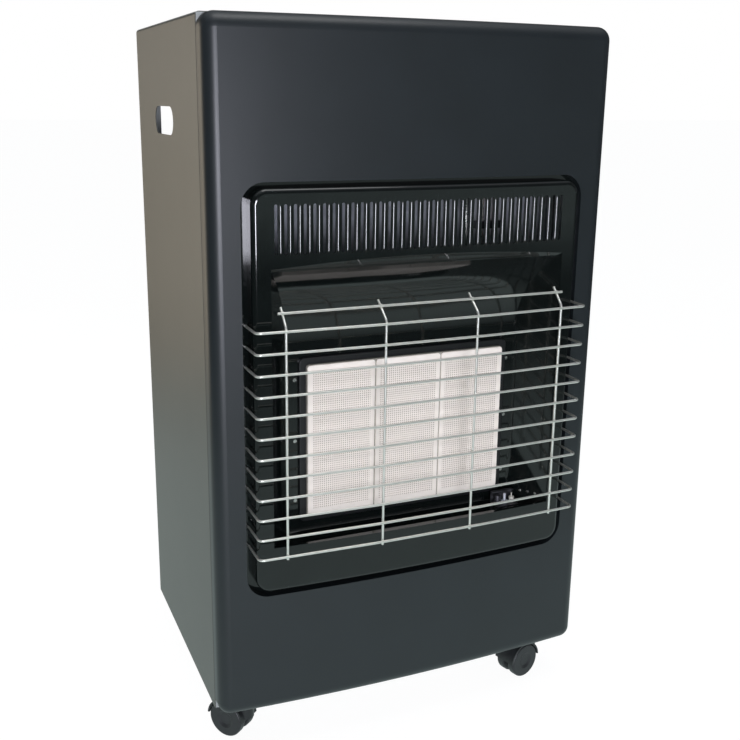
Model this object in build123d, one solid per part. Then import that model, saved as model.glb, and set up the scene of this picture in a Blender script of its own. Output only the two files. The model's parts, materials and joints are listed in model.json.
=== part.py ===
"""Portable gas cabinet heater.

A sheet-steel cabinet on four twin-wheel casters. The front is a bowed pan with a large opening, in which an
enamelled pressing carries the air slots, the curved hood and the combustion chamber. Three ceramic plaques
glow in the chamber behind a chromed wire guard. A gas bottle stands in the open back, behind a lift-off cover.

X runs to the right as seen from the front, the front faces -Y, Z is up, and Z = 0 is the floor.
Depths are written from the front panel's face at its side bends. CENTRE_Y then puts the origin under the middle
of the whole heater. All sizes are millimetres.
"""
from build123d import *
import os
from math import asin, atan2, hypot, tan

# ---- cabinet ----
CABINET_WIDTH = 427.0
CABINET_HEIGHT = 690.0
CABINET_LOW_Z = 50.0        # lower edge of the sides and the front panel above the floor
CABINET_TOP_Z = CABINET_LOW_Z + CABINET_HEIGHT
WRAP_DEPTH = 273.0          # sides and top, behind the front panel
SHEET = 1.0
TOP_BEND = 4.0              # outer bend where the sides turn into the top
SEAM_BEND = 1.2             # bend of the two flanges that meet at the seam
FRONT_FLANGE = 12.0
REAR_FLANGE = 24.0
FIELD_RISE = 1.5            # pressed field in the top, where the top is flat and free
FIELD_INSET = 33.5
FIELD_FRONT_Y = 50.0
FIELD_BACK_Y = 188.0
FIELD_CORNER = 18.0

# ---- front panel ----
PANEL_DEPTH = 23.0
PANEL_BOW = 9.0             # how far the middle stands in front of the side bends
PANEL_BEND = 14.0
SEAM_Y = PANEL_DEPTH
BACK_Y = SEAM_Y + WRAP_DEPTH
OPENING_WIDTH = 367.0
OPENING_HEIGHT = 412.0
OPENING_Z = 387.5           # middle of the opening
OPENING_CORNER = 23.0
OPENING_LIP_Y = 7.0         # the turned-in lip round the opening ends here

# ---- hand holes in the sides ----
HAND_HOLE_LENGTH = 84.0
HAND_HOLE_HEIGHT = 28.0
HAND_HOLE_Y = 166.5
HAND_HOLE_Z = 644.0

# ---- enamelled surround with the combustion chamber ----
SURROUND_GAP = 8.0          # to the panel's opening, at the sides and below
SURROUND_TOP_GAP = 5.0
SURROUND_PROUD = 7.5        # how far its face stands in front of the panel
SURROUND_SHOULDER = 5.0
SURROUND_FLANGE = 9.0
CHAMBER_FRONT_HALF = 158.0  # half width of the chamber's mouth
CHAMBER_BACK_HALF = 131.0
CHAMBER_BACK_Y = 28.0
SILL_Z = 231.0
SILL_LIP_Z = 237.0          # the sill rises to this at its front edge
HOOD_BACK_Z = 435.0         # the hood's curve starts here, on the chamber's back
HOOD_MID_Y = 13.0
HOOD_MID_Z = 485.0
HOOD_FRONT_Y = -10.0
HOOD_FRONT_Z = 512.0
CROWN_Y = -18.0             # the hood's lip flares out and up to here
CROWN_Z = 524.0
CHAMBER_ROUND = 5.0

SLOT_COUNT = 34
SLOT_PITCH = 9.27
SLOT_WIDTH = 3.2
SLOT_HEIGHT = 46.0
SLOT_Z = 551.0
RIB_WIDTH = 4.4             # pressed rib on the web between two slots
RIB_PROUD = 1.1

# ---- burner ----
PLAQUE_COUNT = 3
PLAQUE_WIDTH = 73.0
PLAQUE_HEIGHT = 160.0
PLAQUE_THICK = 13.0
PLAQUE_FACE_Y = 20.0
PLAQUE_Z = 330.5            # middle of the plaques
PLAQUE_CORNER = 3.0
JOINT_GAP = 1.4             # fibre strip between two plaques
GASKET = 0.6                # fibre strip round the three
FRAME_WIDTH = 7.0           # retaining frame round the plaques
FRAME_THICK = 3.5
BURNER_WALL = 1.5
BURNER_FLANGE = 15.0
BURNER_DEPTH = 34.0
PLAQUE_LEDGE = 4.0
VENTURI_RADIUS = 10.0
VENTURI_WALL = 1.2
VENTURI_BELL = 13.0
VENTURI_LOW_Z = 228.0
VENTURI_TOP_Z = 375.0
VENTURI_PORT_Z = 355.0
VENTURI_PORT_RADIUS = 7.0

# ---- gas line ----
MANIFOLD_SIZE = 14.0
MANIFOLD_Z = 200.0
MANIFOLD_RIGHT = 105.0
INJECTOR_RADIUS = 4.0
INJECTOR_TIP_RADIUS = 2.5
FEED_TUBE = 8.0
PILOT_TUBE = 4.0
THERMO_LEAD = 3.0
SPARK_LEAD = 3.6
FEED_BEND = 18.0
FEED_KNEE_Z = 420.0         # below this the feed tube is upright
LEAD_BEND = 9.0
LEAD_STRAIGHT = 2.0         # between the valve and the first thin run's bend
LEAD_STEP = 8.0
LEAD_UNDER = 20.0           # the thin runs pass this far under the sill
LEAD_DROP_Y = 83.0          # the thin runs go down here, in front of the heat shield
LEAD_CLIP_DROP = 60.0       # upper clip below the shield's top
HEAT_SHIELD_Y = 90.0
HEAT_SHIELD_TOP_Z = 590.0
SHIELD_FLANGE = 15.0

# ---- pilot group, on the sill at the right ----
PILOT_Y = 13.0
PILOT_X = 110.0
PILOT_STEP = 9.0            # pilot burner, thermocouple and electrode stand this far apart
PILOT_PLATE_WIDTH = 16.0
PILOT_PLATE_THICK = 1.2
PILOT_PLATE_TALL = 14.0     # upright of the plate, behind the three
PILOT_PLATE_RIM = 5.0       # rim along the upright's top
PILOT_RADIUS = 3.5
PILOT_TALL = 10.0
PILOT_FOOT_RADIUS = 4.5
PILOT_FOOT = 3.0
PILOT_SLOT = 2.0
THERMO_NUT = 3.6
THERMO_TALL = 11.0
INSULATOR_RADIUS = 2.9
INSULATOR_TALL = 6.0
SPARK_WIRE = 1.4
SPARK_TALL = 10.5
RIVET_SHARES = (0.34, 0.53, 0.72, 0.91)    # places along the right cheek, from its back to its front
RIVET_RISE = 12.0           # above the sill
RIVET_HEAD = 1.5
RIVET_HEAD_THICK = 0.9
RIVET_SHANK = 0.9

# ---- controls in the top ----
TRAY_INSET = 101.5          # middle of the tray from the cabinet's right side
TRAY_Y = 238.0
TRAY_LENGTH = 152.0
TRAY_WIDTH = 72.0
TRAY_DEPTH = 20.0
TRAY_WALL = 2.0
TRAY_RIM = 4.0
TRAY_CORNER = 12.0
KNOB_OFFSET_X = -30.0
PIEZO_OFFSET_X = 42.0
KNOB_RADIUS = 20.0
KNOB_HEIGHT = 17.0
KNOB_TRAVEL = 4.0
VALVE_LENGTH = 46.0
VALVE_WIDTH = 34.0
VALVE_HEIGHT = 36.0
VALVE_ROUND = 3.0
NECK_RADIUS = 9.0
PLUNGER_RADIUS = 6.0
SPINDLE_RADIUS = 3.0
PIEZO_RADIUS = 10.0
PIEZO_LENGTH = 44.0
BUTTON_RADIUS = 6.5
BUTTON_TRAVEL = 6.0
CONTROL_PLATE = 1.2
HOSE_RADIUS = 4.5
HOSE_NUT = 8.0
HOSE_PLAIN = 3.0
HOSE_LENGTH = 26.0
HOSE_BARBS = 4
HOSE_BARB_PITCH = 5.0
HOSE_BARB_RISE = 0.8

# ---- wire guard ----
WIRE = 2.6
BAR_COUNT = 12
BAR_PITCH = 20.43
BAR_LOW_Z = 235.3
BAR_INSET = 5.0             # the bars' bends stand this far inside the opening
BAR_Y = -29.5               # the long bars' bends
BAR_BOW = 4.5
POST_SHARES = (-0.838, -0.28, 0.28, 0.838)   # places along a long bar, from its middle to its end
SHORT_BAR_INSET = 28.5
SHORT_BAR_Y = -20.0
SHORT_BAR_Z = 475.0
POST_TIP = 4.0
GUARD_BEND = 5.0
WELD_GAP = 0.02             # between two wires, or a wire and the flange, at their weld

# ---- base and casters ----
BASE_SHEET = 1.5
BASE_LIFT = 4.0             # underside of the base above the cabinet's lower edge
BASE_Z = CABINET_LOW_Z + BASE_LIFT
BASE_LIP = 15.0             # height of the rim on the floor
BOTTLE_Y = 228.0            # middle of the bottle's place
BASE_SLOTS = 5
BASE_SLOT_INSET = 78.5
BASE_SLOT_PITCH = 26.0
BASE_SLOT_LENGTH = 44.0
BASE_SLOT_WIDTH = 8.0
SEAT_RISE = 1.5             # pressed seat for the gas bottle
SEAT_INSET = 48.5
SEAT_FRONT_Y = 108.0
SEAT_BACK_Y = 288.0
SEAT_CORNER = 20.0
CASTER_INSET = 36.5         # swivel axis from the cabinet's side
CASTER_FRONT_Y = 36.0
CASTER_REAR_Y = 262.0
CASTER_TRAIL = 18.0
WHEEL_RADIUS = 20.0
WHEEL_WIDTH = 10.0
WHEEL_GAP = 7.0             # between the two wheels of a caster
AXLE_RADIUS = 3.0
STEM_RADIUS = 4.0
HUB_RADIUS = 9.0
HOOD_THICK = 2.0
HOOD_PLAY = 0.8             # between the hood and a wheel
WHEEL_COVER = 1.5
WHEEL_EDGE = 2.0
CASTER_TURN = {"fl": 38.0, "fr": 105.0, "rl": 285.0, "rr": 150.0}

# ---- rear cover ----
COVER_DEPTH = 70.0
COVER_INSET = 37.5          # pressed-out body from the cabinet's side
COVER_FLANGE_INSET = 9.5
COVER_LOW_Z = 62.0
COVER_TOP_Z = 472.0
COVER_EDGE = 14.0           # flange above and below the pressed-out body
COVER_BEND = 18.0
LOUVRE_ROWS = 9
LOUVRE_LENGTH = 120.0
LOUVRE_HEIGHT = 9.0
LOUVRE_RISE = 4.0           # how far a louvre's hood is pressed out
LOUVRE_SLOPE = 35.0
LOUVRE_PITCH = 28.0
HOOK_WIDTH = 8.0
HOOK_LUG = 12.0             # lug on the rear flange that a hook hangs on
HOOK_GAP = 1.0
LOWER_HOOK_X = 120.0

# ---- screws ----
SCREW_HEAD = 3.4
SCREW_HEAD_THICK = 2.2
SCREW_SHANK = 1.9
SCREW_LENGTH = 3.0

# ---- clearances ----
HINGE_PLAY = 0.06
SLIDE_PLAY = 0.3
HANG_PLAY = 0.25
FIT_PLAY = 0.05             # between a fixed tube, screw or stem and its hole

HALF = CABINET_WIDTH / 2
TRAY_X = HALF - TRAY_INSET
CASTER_X = HALF - CASTER_INSET
COVER_HALF = HALF - COVER_INSET
COVER_FLANGE_HALF = HALF - COVER_FLANGE_INSET
BAR_HALF = OPENING_WIDTH / 2 - BAR_INSET
COVER_BACK_Y = BACK_Y + HANG_PLAY + COVER_DEPTH
GUARD_FRONT_Y = BAR_Y - BAR_BOW - WIRE / 2
CENTRE_Y = -(GUARD_FRONT_Y + COVER_BACK_Y) / 2


def block(x0, x1, y0, y1, z0, z1):
    """Box between two corners."""
    return Pos((x0 + x1) / 2, (y0 + y1) / 2, (z0 + z1) / 2) * Box(x1 - x0, y1 - y0, z1 - z0)


def tall_rod(radius, x, y, z0, z1):
    """Upright cylinder from z0 to z1."""
    return Pos(x, y, (z0 + z1) / 2) * Cylinder(radius, z1 - z0)


def facing_plane(y, z):
    """Sketch plane across the heater, whose normal points to the back."""
    return Plane((0, y, z), x_dir=(1, 0, 0), z_dir=(0, 1, 0))


def rounded_block(width, height, corner, y0, y1, z_mid, x_mid=0.0):
    """Block with rounded corners in the front view."""
    outline = Pos(x_mid, 0) * RectangleRounded(width, height, corner)
    return extrude(facing_plane(y0, z_mid) * outline, y1 - y0)


def bowed_block(width, y_front, y_rear, bow, z0, z1):
    """Block whose front bulges towards -Y by the bow."""
    half = width / 2
    front = ThreePointArc((-half, y_front), (0, y_front - bow), (half, y_front))
    rest = Polyline((half, y_front), (half, y_rear), (-half, y_rear), (-half, y_front))
    return Pos(0, 0, z0) * extrude(make_face(front + rest), z1 - z0)


def pan_block(inset, y_rear):
    """Front panel's outer form, drawn in by the inset on every bent side."""
    width = CABINET_WIDTH - 2 * inset
    low = CABINET_LOW_Z + inset
    high = CABINET_TOP_Z - inset
    bend = PANEL_BEND - inset
    form = bowed_block(width, inset, y_rear, PANEL_BOW, low, high)
    uprights = [e for e in form.edges().filter_by(Axis.Z) if e.center().Y < y_rear - SHEET]
    form = fillet(uprights, bend)
    rims = [
        e for e in form.edges()
        if (abs(e.center().Z - low) < SHEET / 2 or abs(e.center().Z - high) < SHEET / 2)
        and e.center().Y < y_rear - SHEET / 2
    ]
    return fillet(rims, bend)


def front_panel():
    """Bowed pan with the opening's turned-in lip and a flange along the seam."""
    panel = pan_block(0, SEAM_Y)
    seam_edges = [e for e in panel.edges() if abs(e.center().Y - SEAM_Y) < SHEET / 2]
    panel = fillet(seam_edges, SEAM_BEND)
    solid_front = panel
    panel -= pan_block(SHEET, SEAM_Y - SHEET)
    mid_z = (CABINET_LOW_Z + CABINET_TOP_Z) / 2
    window = (CABINET_WIDTH - 2 * FRONT_FLANGE, CABINET_HEIGHT - 2 * FRONT_FLANGE)
    panel -= rounded_block(*window, PANEL_BEND, SEAM_Y - 2 * SHEET, SEAM_Y + SHEET, mid_z)
    lip = rounded_block(OPENING_WIDTH + 2 * SHEET, OPENING_HEIGHT + 2 * SHEET, OPENING_CORNER + SHEET,
                        -PANEL_DEPTH, OPENING_LIP_Y, OPENING_Z)
    lip_flange = opening_flange(OPENING_LIP_Y - SHEET, OPENING_LIP_Y)
    opening = rounded_block(OPENING_WIDTH, OPENING_HEIGHT, OPENING_CORNER,
                            -2 * PANEL_DEPTH, SEAM_Y - 2 * SHEET, OPENING_Z)
    return panel + (lip & solid_front) + lip_flange - opening


def opening_flange(y0, y1):
    """Flat plate that reaches past the opening on every side."""
    return rounded_block(OPENING_WIDTH + 2 * SURROUND_FLANGE, OPENING_HEIGHT + 2 * SURROUND_FLANGE,
                         OPENING_CORNER + SURROUND_FLANGE, y0, y1, OPENING_Z)


def stadium_bore(length, height, y, z):
    """Cutter for a hand hole, right through both sides."""
    outline = SlotOverall(length, height)
    plane = Plane((-CABINET_WIDTH, y, z), x_dir=(0, 1, 0), z_dir=(1, 0, 0))
    return extrude(plane * outline, 2 * CABINET_WIDTH)


def cabinet_wrap():
    """Both sides and the top, bent from one sheet, with flanges at the front and the back."""
    wrap = block(-HALF, HALF, SEAM_Y, BACK_Y, CABINET_LOW_Z, CABINET_TOP_Z)
    top_edges = [e for e in wrap.edges().filter_by(Axis.Y) if e.center().Z > CABINET_TOP_Z - SHEET]
    wrap = fillet(top_edges, TOP_BEND)
    seam_edges = [
        e for e in wrap.edges()
        if e.center().Y < SEAM_Y + SHEET / 2 and e.center().Z > CABINET_LOW_Z + SHEET
    ]
    wrap = fillet(seam_edges, SEAM_BEND)
    inside = block(-HALF + SHEET, HALF - SHEET, SEAM_Y + SHEET, BACK_Y - SHEET, 0, CABINET_TOP_Z - SHEET)
    inner_edges = [e for e in inside.edges().filter_by(Axis.Y) if e.center().Z > CABINET_TOP_Z - 2 * SHEET]
    wrap -= fillet(inner_edges, TOP_BEND - SHEET)
    front_half = HALF - FRONT_FLANGE
    wrap -= block(-front_half, front_half, 0, HEAT_SHIELD_Y, 0, CABINET_TOP_Z - FRONT_FLANGE)
    rear_half = HALF - REAR_FLANGE
    wrap -= block(-rear_half, rear_half, HAND_HOLE_Y, BACK_Y + SHEET, 0, CABINET_TOP_Z - REAR_FLANGE)
    for side in (-1, 1):
        lug = block(rear_half - HOOK_LUG, rear_half + SHEET, BACK_Y - SHEET, BACK_Y,
                    hook_lug_z() - HOOK_LUG, hook_lug_z())
        wrap += lug if side > 0 else mirror(lug, Plane.YZ)
    wrap -= stadium_bore(HAND_HOLE_LENGTH, HAND_HOLE_HEIGHT, HAND_HOLE_Y, HAND_HOLE_Z)
    field = (HALF - FIELD_INSET, FIELD_FRONT_Y, FIELD_BACK_Y, FIELD_CORNER)
    wrap = pressed_up(wrap, *field, CABINET_TOP_Z, SHEET, FIELD_RISE)
    return wrap - tray_form(0, CABINET_TOP_Z - TRAY_DEPTH, CABINET_TOP_Z + SHEET)


def raised_form(half_width, y0, y1, corner, z0, z1):
    """Rounded rectangle between two heights, the same to the left and the right."""
    outline = RectangleRounded(2 * half_width, y1 - y0, corner)
    return extrude(Pos(0, (y0 + y1) / 2, z0) * outline, z1 - z0)


def pressed_up(sheet, half_width, y0, y1, corner, top, thick, rise):
    """The sheet with a flat field pressed up from its upper face by the rise."""
    sheet += raised_form(half_width, y0, y1, corner, top, top + rise)
    return sheet - raised_form(half_width - thick, y0 + thick, y1 - thick, corner - thick,
                               top - 2 * thick, top - thick + rise)


def hook_lug_z():
    """Upper edge of the lugs that carry the rear cover."""
    return COVER_TOP_Z - COVER_EDGE - HOOK_LUG


# ---- surround, slots and combustion chamber ----

def surround_block(inset, y_rear):
    """Surround's outer form: a rounded rectangle with a bowed face and a rounded shoulder."""
    gap = SURROUND_GAP + inset
    width = OPENING_WIDTH - 2 * gap
    y_front = inset - SURROUND_PROUD - panel_rise(width / 2)
    bow = PANEL_BOW - panel_rise(width / 2)
    low = OPENING_Z - OPENING_HEIGHT / 2 + gap
    high = OPENING_Z + OPENING_HEIGHT / 2 - SURROUND_TOP_GAP - inset
    form = bowed_block(width, y_front, y_rear, bow, low, high)
    corners = [e for e in form.edges().filter_by(Axis.Y)]
    form = fillet(corners, OPENING_CORNER - gap)
    face_edges = form.faces().sort_by(Axis.Y)[0].edges()
    return fillet(face_edges, SURROUND_SHOULDER - inset)


def panel_rise(x):
    """How far the bowed panel stands in front of its side bends at x."""
    return PANEL_BOW * (1 - (x / HALF) ** 2)


def chamber_block(grow):
    """Space of the combustion chamber, widened by the sheet where it is the outer form."""
    reach = -3 * PANEL_DEPTH
    back = CHAMBER_BACK_Y
    side = Polyline(
        (reach, CROWN_Z), (reach, SILL_LIP_Z), (HOOD_FRONT_Y, SILL_LIP_Z), (0, SILL_Z), (back, SILL_Z),
        (back, HOOD_BACK_Z),
    )
    hood = ThreePointArc((back, HOOD_BACK_Z), (HOOD_MID_Y, HOOD_MID_Z), (HOOD_FRONT_Y, HOOD_FRONT_Z))
    crown = Polyline((HOOD_FRONT_Y, HOOD_FRONT_Z), (CROWN_Y, CROWN_Z), (reach, CROWN_Z))
    outline = make_face(side + hood + crown)
    plan = make_face(Polyline(
        (-CHAMBER_FRONT_HALF, reach), (-CHAMBER_FRONT_HALF, HOOD_FRONT_Y), (-CHAMBER_BACK_HALF, back),
        (CHAMBER_BACK_HALF, back), (CHAMBER_FRONT_HALF, HOOD_FRONT_Y), (CHAMBER_FRONT_HALF, reach),
        close=True,
    ))
    if grow:
        outline = offset(outline, grow, kind=Kind.INTERSECTION)
        plan = offset(plan, grow, kind=Kind.INTERSECTION)
    sill_corner = outline.vertices().sort_by_distance((back, SILL_Z, 0))[0]
    outline = fillet(sill_corner, CHAMBER_ROUND + grow)
    plan = fillet(plan.vertices().group_by(Axis.Y)[-1], CHAMBER_ROUND + grow)
    side_plane = Plane((0, 0, 0), x_dir=(0, 1, 0), z_dir=(1, 0, 0))
    return extrude(side_plane * outline, HALF, both=True) & extrude(plan, CABINET_TOP_Z, both=True)


def slot_x(index):
    """Centre of a slot, counted from the left."""
    return (index - (SLOT_COUNT - 1) / 2) * SLOT_PITCH


def combustion_surround():
    """Enamelled pressing: face, air slots with ribs between them, and the chamber with its hood."""
    rear = OPENING_LIP_Y + SHEET
    form = surround_block(0, rear)
    shell = form - surround_block(SHEET, rear + SHEET)
    flange = opening_flange(OPENING_LIP_Y, rear) - surround_block(SHEET, rear + SHEET)
    tub = chamber_block(SHEET) & surround_block(0, CHAMBER_BACK_Y + 2 * SHEET)
    surround = shell + flange + tub
    for index in range(SLOT_COUNT - 1):
        surround += slot_rib((slot_x(index) + slot_x(index + 1)) / 2)
    surround -= chamber_block(0)
    for index in range(SLOT_COUNT):
        slot = Pos(slot_x(index), 0) * Rot(0, 0, 90) * SlotOverall(SLOT_HEIGHT, SLOT_WIDTH)
        surround -= extrude(facing_plane(-2 * PANEL_DEPTH, SLOT_Z) * slot, 2 * PANEL_DEPTH)
    surround -= rounded_block(burner_inner_width(), burner_inner_height(), PLAQUE_CORNER,
                              0, 2 * CHAMBER_BACK_Y, PLAQUE_Z)
    for index, diameter in enumerate((PILOT_TUBE, THERMO_LEAD, SPARK_LEAD)):
        surround -= tall_rod(diameter / 2 + SLIDE_PLAY, pilot_station(index), PILOT_Y, SILL_Z - 3 * SHEET,
                             SILL_Z + SHEET)
    for share in RIVET_SHARES:
        surround -= cheek_plane(share) * Cylinder(RIVET_SHANK + FIT_PLAY, 4 * SHEET)
    return surround


def cheek_plane(share):
    """Plane on the right cheek's inner face; its normal points into the chamber."""
    x = CHAMBER_BACK_HALF + share * (CHAMBER_FRONT_HALF - CHAMBER_BACK_HALF)
    y = CHAMBER_BACK_Y + share * (HOOD_FRONT_Y - CHAMBER_BACK_Y)
    inward = (HOOD_FRONT_Y - CHAMBER_BACK_Y, CHAMBER_BACK_HALF - CHAMBER_FRONT_HALF, 0)
    return Plane((x, y, SILL_Z + RIVET_RISE), x_dir=(0, 0, 1), z_dir=inward)


def cheek_rivets():
    """Row of four small rivets low on the right cheek."""
    rivets = []
    for share in RIVET_SHARES:
        head = Pos(0, 0, RIVET_HEAD_THICK / 2) * Cylinder(RIVET_HEAD, RIVET_HEAD_THICK)
        head = fillet(head.edges().group_by(Axis.Z)[-1], RIVET_HEAD_THICK / 2)
        tail = Pos(0, 0, -SHEET - RIVET_HEAD_THICK / 2) * Cylinder(RIVET_HEAD, RIVET_HEAD_THICK)
        shank = Pos(0, 0, -SHEET / 2) * Cylinder(RIVET_SHANK, 2 * SHEET)
        rivets.append(cheek_plane(share) * (head + shank + tail))
    return Compound(children=rivets)


def face_y(x):
    """Depth of the surround's bowed face at x."""
    return -SURROUND_PROUD - panel_rise(x)


def slot_rib(x):
    """Low rounded rib on the web between two slots."""
    length = SLOT_HEIGHT - SLOT_WIDTH
    radius = RIB_WIDTH ** 2 / (8 * RIB_PROUD) + RIB_PROUD / 2
    rod = Pos(x, face_y(x) - RIB_PROUD + radius, SLOT_Z) * Cylinder(radius, length)
    keep = block(x - RIB_WIDTH / 2, x + RIB_WIDTH / 2, face_y(x) - radius, face_y(x) + SHEET / 2,
                 SLOT_Z - length, SLOT_Z + length)
    return rod & keep


# ---- burner ----

def plaques_width():
    """Width of the row of plaques with the strips between them."""
    return PLAQUE_COUNT * PLAQUE_WIDTH + (PLAQUE_COUNT - 1) * JOINT_GAP


def burner_inner_width():
    """Width of the pocket that holds the plaques and their fibre strip."""
    return plaques_width() + 2 * GASKET


def burner_inner_height():
    """Height of the pocket that holds the plaques and their fibre strip."""
    return PLAQUE_HEIGHT + 2 * GASKET


def plaque_x(index):
    """Centre of a plaque, counted from the left."""
    return (index - (PLAQUE_COUNT - 1) / 2) * (PLAQUE_WIDTH + JOINT_GAP)


def plaque(index):
    """One ceramic plaque, portrait, with rounded corners."""
    return rounded_block(PLAQUE_WIDTH, PLAQUE_HEIGHT, PLAQUE_CORNER, PLAQUE_FACE_Y,
                         PLAQUE_FACE_Y + PLAQUE_THICK, PLAQUE_Z, plaque_x(index))


def plaque_gasket():
    """Fibre strip round the plaques and between them."""
    front = PLAQUE_FACE_Y + 2 * GASKET
    back = PLAQUE_FACE_Y + PLAQUE_THICK
    strip = rounded_block(burner_inner_width(), burner_inner_height(), PLAQUE_CORNER, front, back, PLAQUE_Z)
    for index in range(PLAQUE_COUNT):
        strip -= plaque(index)
    return strip


def plaque_frame():
    """Black retaining frame on the chamber's back, round the plaques."""
    front = CHAMBER_BACK_Y - FRAME_THICK
    outer = rounded_block(burner_inner_width() + 2 * FRAME_WIDTH, burner_inner_height() + 2 * FRAME_WIDTH,
                          PLAQUE_CORNER + FRAME_WIDTH / 2, front, CHAMBER_BACK_Y, PLAQUE_Z)
    rim = outer.faces().sort_by(Axis.Y)[0].edges()
    outer = fillet(rim, FRAME_THICK / 3)
    return outer - rounded_block(burner_inner_width(), burner_inner_height(), PLAQUE_CORNER,
                                 front - SHEET, CHAMBER_BACK_Y + SHEET, PLAQUE_Z)


def burner_front_y():
    """Front of the burner body, against the back of the chamber."""
    return CHAMBER_BACK_Y + SHEET


def burner_back_y():
    """Back wall of the burner body."""
    return burner_front_y() + BURNER_DEPTH


def burner_body():
    """Pressed steel box with one mixing chamber behind each plaque."""
    front = burner_front_y()
    back = burner_back_y()
    width = burner_inner_width() + 2 * BURNER_WALL
    height = burner_inner_height() + 2 * BURNER_WALL
    corner = PLAQUE_CORNER + BURNER_WALL
    body = rounded_block(width, height, corner, front, back, PLAQUE_Z)
    body = fillet(body.faces().sort_by(Axis.Y)[-1].edges(), corner)
    body += rounded_block(width + 2 * BURNER_FLANGE, height + 2 * BURNER_FLANGE, corner,
                          front, front + BURNER_WALL, PLAQUE_Z)
    body -= rounded_block(burner_inner_width(), burner_inner_height(), PLAQUE_CORNER,
                          front - SHEET, PLAQUE_FACE_Y + PLAQUE_THICK, PLAQUE_Z)
    for index in range(PLAQUE_COUNT):
        body -= rounded_block(PLAQUE_WIDTH - 2 * PLAQUE_LEDGE, PLAQUE_HEIGHT - 2 * PLAQUE_LEDGE,
                              PLAQUE_CORNER, front, back - BURNER_WALL, PLAQUE_Z, plaque_x(index))
        port = Cylinder(VENTURI_PORT_RADIUS, BURNER_DEPTH, rotation=(90, 0, 0))
        body -= Pos(plaque_x(index), back, VENTURI_PORT_Z) * port
    return body


def venturi_y():
    """Depth of the mixing tubes' axes."""
    return burner_back_y() + VENTURI_RADIUS + VENTURI_WALL


def venturi_tube(x):
    """Mixing tube: bell mouth at the bottom, closed top, and a port into the burner."""
    outer = tall_rod(VENTURI_RADIUS, x, venturi_y(), VENTURI_LOW_Z + VENTURI_BELL, VENTURI_TOP_Z)
    outer += Pos(x, venturi_y(), VENTURI_TOP_Z) * Sphere(VENTURI_RADIUS)
    bell_at = Pos(x, venturi_y(), VENTURI_LOW_Z + VENTURI_BELL / 2)
    outer += bell_at * Cone(VENTURI_BELL, VENTURI_RADIUS, VENTURI_BELL)
    inner_radius = VENTURI_RADIUS - VENTURI_WALL
    outer_stub = Cylinder(VENTURI_PORT_RADIUS, VENTURI_RADIUS + VENTURI_WALL + BURNER_WALL,
                          rotation=(90, 0, 0), align=(Align.CENTER, Align.CENTER, Align.MIN))
    outer += Pos(x, venturi_y(), VENTURI_PORT_Z) * outer_stub
    outer -= tall_rod(inner_radius, x, venturi_y(), VENTURI_LOW_Z, VENTURI_TOP_Z)
    outer -= bell_at * Cone(VENTURI_BELL - VENTURI_WALL, inner_radius, VENTURI_BELL)
    inner_stub = Cylinder(VENTURI_PORT_RADIUS - VENTURI_WALL, BURNER_DEPTH,
                          rotation=(90, 0, 0), align=(Align.CENTER, Align.CENTER, Align.MIN))
    return outer - Pos(x, venturi_y(), VENTURI_PORT_Z) * inner_stub


def venturi_tubes():
    """The three mixing tubes."""
    return Compound(children=[venturi_tube(plaque_x(index)) for index in range(PLAQUE_COUNT)])


def injector_manifold():
    """Bar that feeds the three injectors."""
    half = MANIFOLD_SIZE / 2
    left = plaque_x(0) - MANIFOLD_SIZE
    bar = block(left, MANIFOLD_RIGHT, venturi_y() - half, venturi_y() + half,
                MANIFOLD_Z - half, MANIFOLD_Z + half)
    bar = fillet(bar.edges().filter_by(Axis.X), half / 3)
    return bar - feed_socket()


def feed_x():
    """The feed tube meets the manifold here."""
    return MANIFOLD_RIGHT - MANIFOLD_SIZE / 2


def feed_socket():
    """Bore in the manifold that takes the feed tube's end."""
    return tall_rod(FEED_TUBE / 2 + FIT_PLAY, feed_x(), venturi_y(), MANIFOLD_Z, MANIFOLD_Z + MANIFOLD_SIZE)


def injectors():
    """Three brass injectors, each under its mixing tube."""
    low = MANIFOLD_Z + MANIFOLD_SIZE / 2
    jets = []
    high = VENTURI_LOW_Z + INJECTOR_RADIUS
    for index in range(PLAQUE_COUNT):
        shank = tall_rod(INJECTOR_RADIUS, plaque_x(index), venturi_y(), low, low + 2 * INJECTOR_RADIUS)
        tip = tall_rod(INJECTOR_TIP_RADIUS, plaque_x(index), venturi_y(), low, high)
        jets.append(shank + tip)
    return Compound(children=jets)


def manifold_brackets():
    """Two sheet legs that hang the manifold from the burner body."""
    legs = []
    top = PLAQUE_Z - burner_inner_height() / 2
    for index in range(PLAQUE_COUNT - 1):
        x = (plaque_x(index) + plaque_x(index + 1)) / 2
        back = burner_back_y() + SHEET
        leg = block(x - MANIFOLD_SIZE, x + MANIFOLD_SIZE, burner_back_y(), back,
                    MANIFOLD_Z + MANIFOLD_SIZE / 2, top + MANIFOLD_SIZE)
        foot = block(x - MANIFOLD_SIZE, x + MANIFOLD_SIZE, burner_back_y(), venturi_y() + MANIFOLD_SIZE / 2,
                     MANIFOLD_Z + MANIFOLD_SIZE / 2, MANIFOLD_Z + MANIFOLD_SIZE / 2 + SHEET)
        legs.append(leg + foot)
    return Compound(children=legs)


# ---- pilot group ----

def pilot_station(index):
    """X of the pilot burner, the thermocouple and the electrode."""
    return PILOT_X + index * PILOT_STEP


def pilot_seat_z():
    """Upper face of the pilot bracket."""
    return SILL_Z + PILOT_PLATE_THICK


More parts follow.
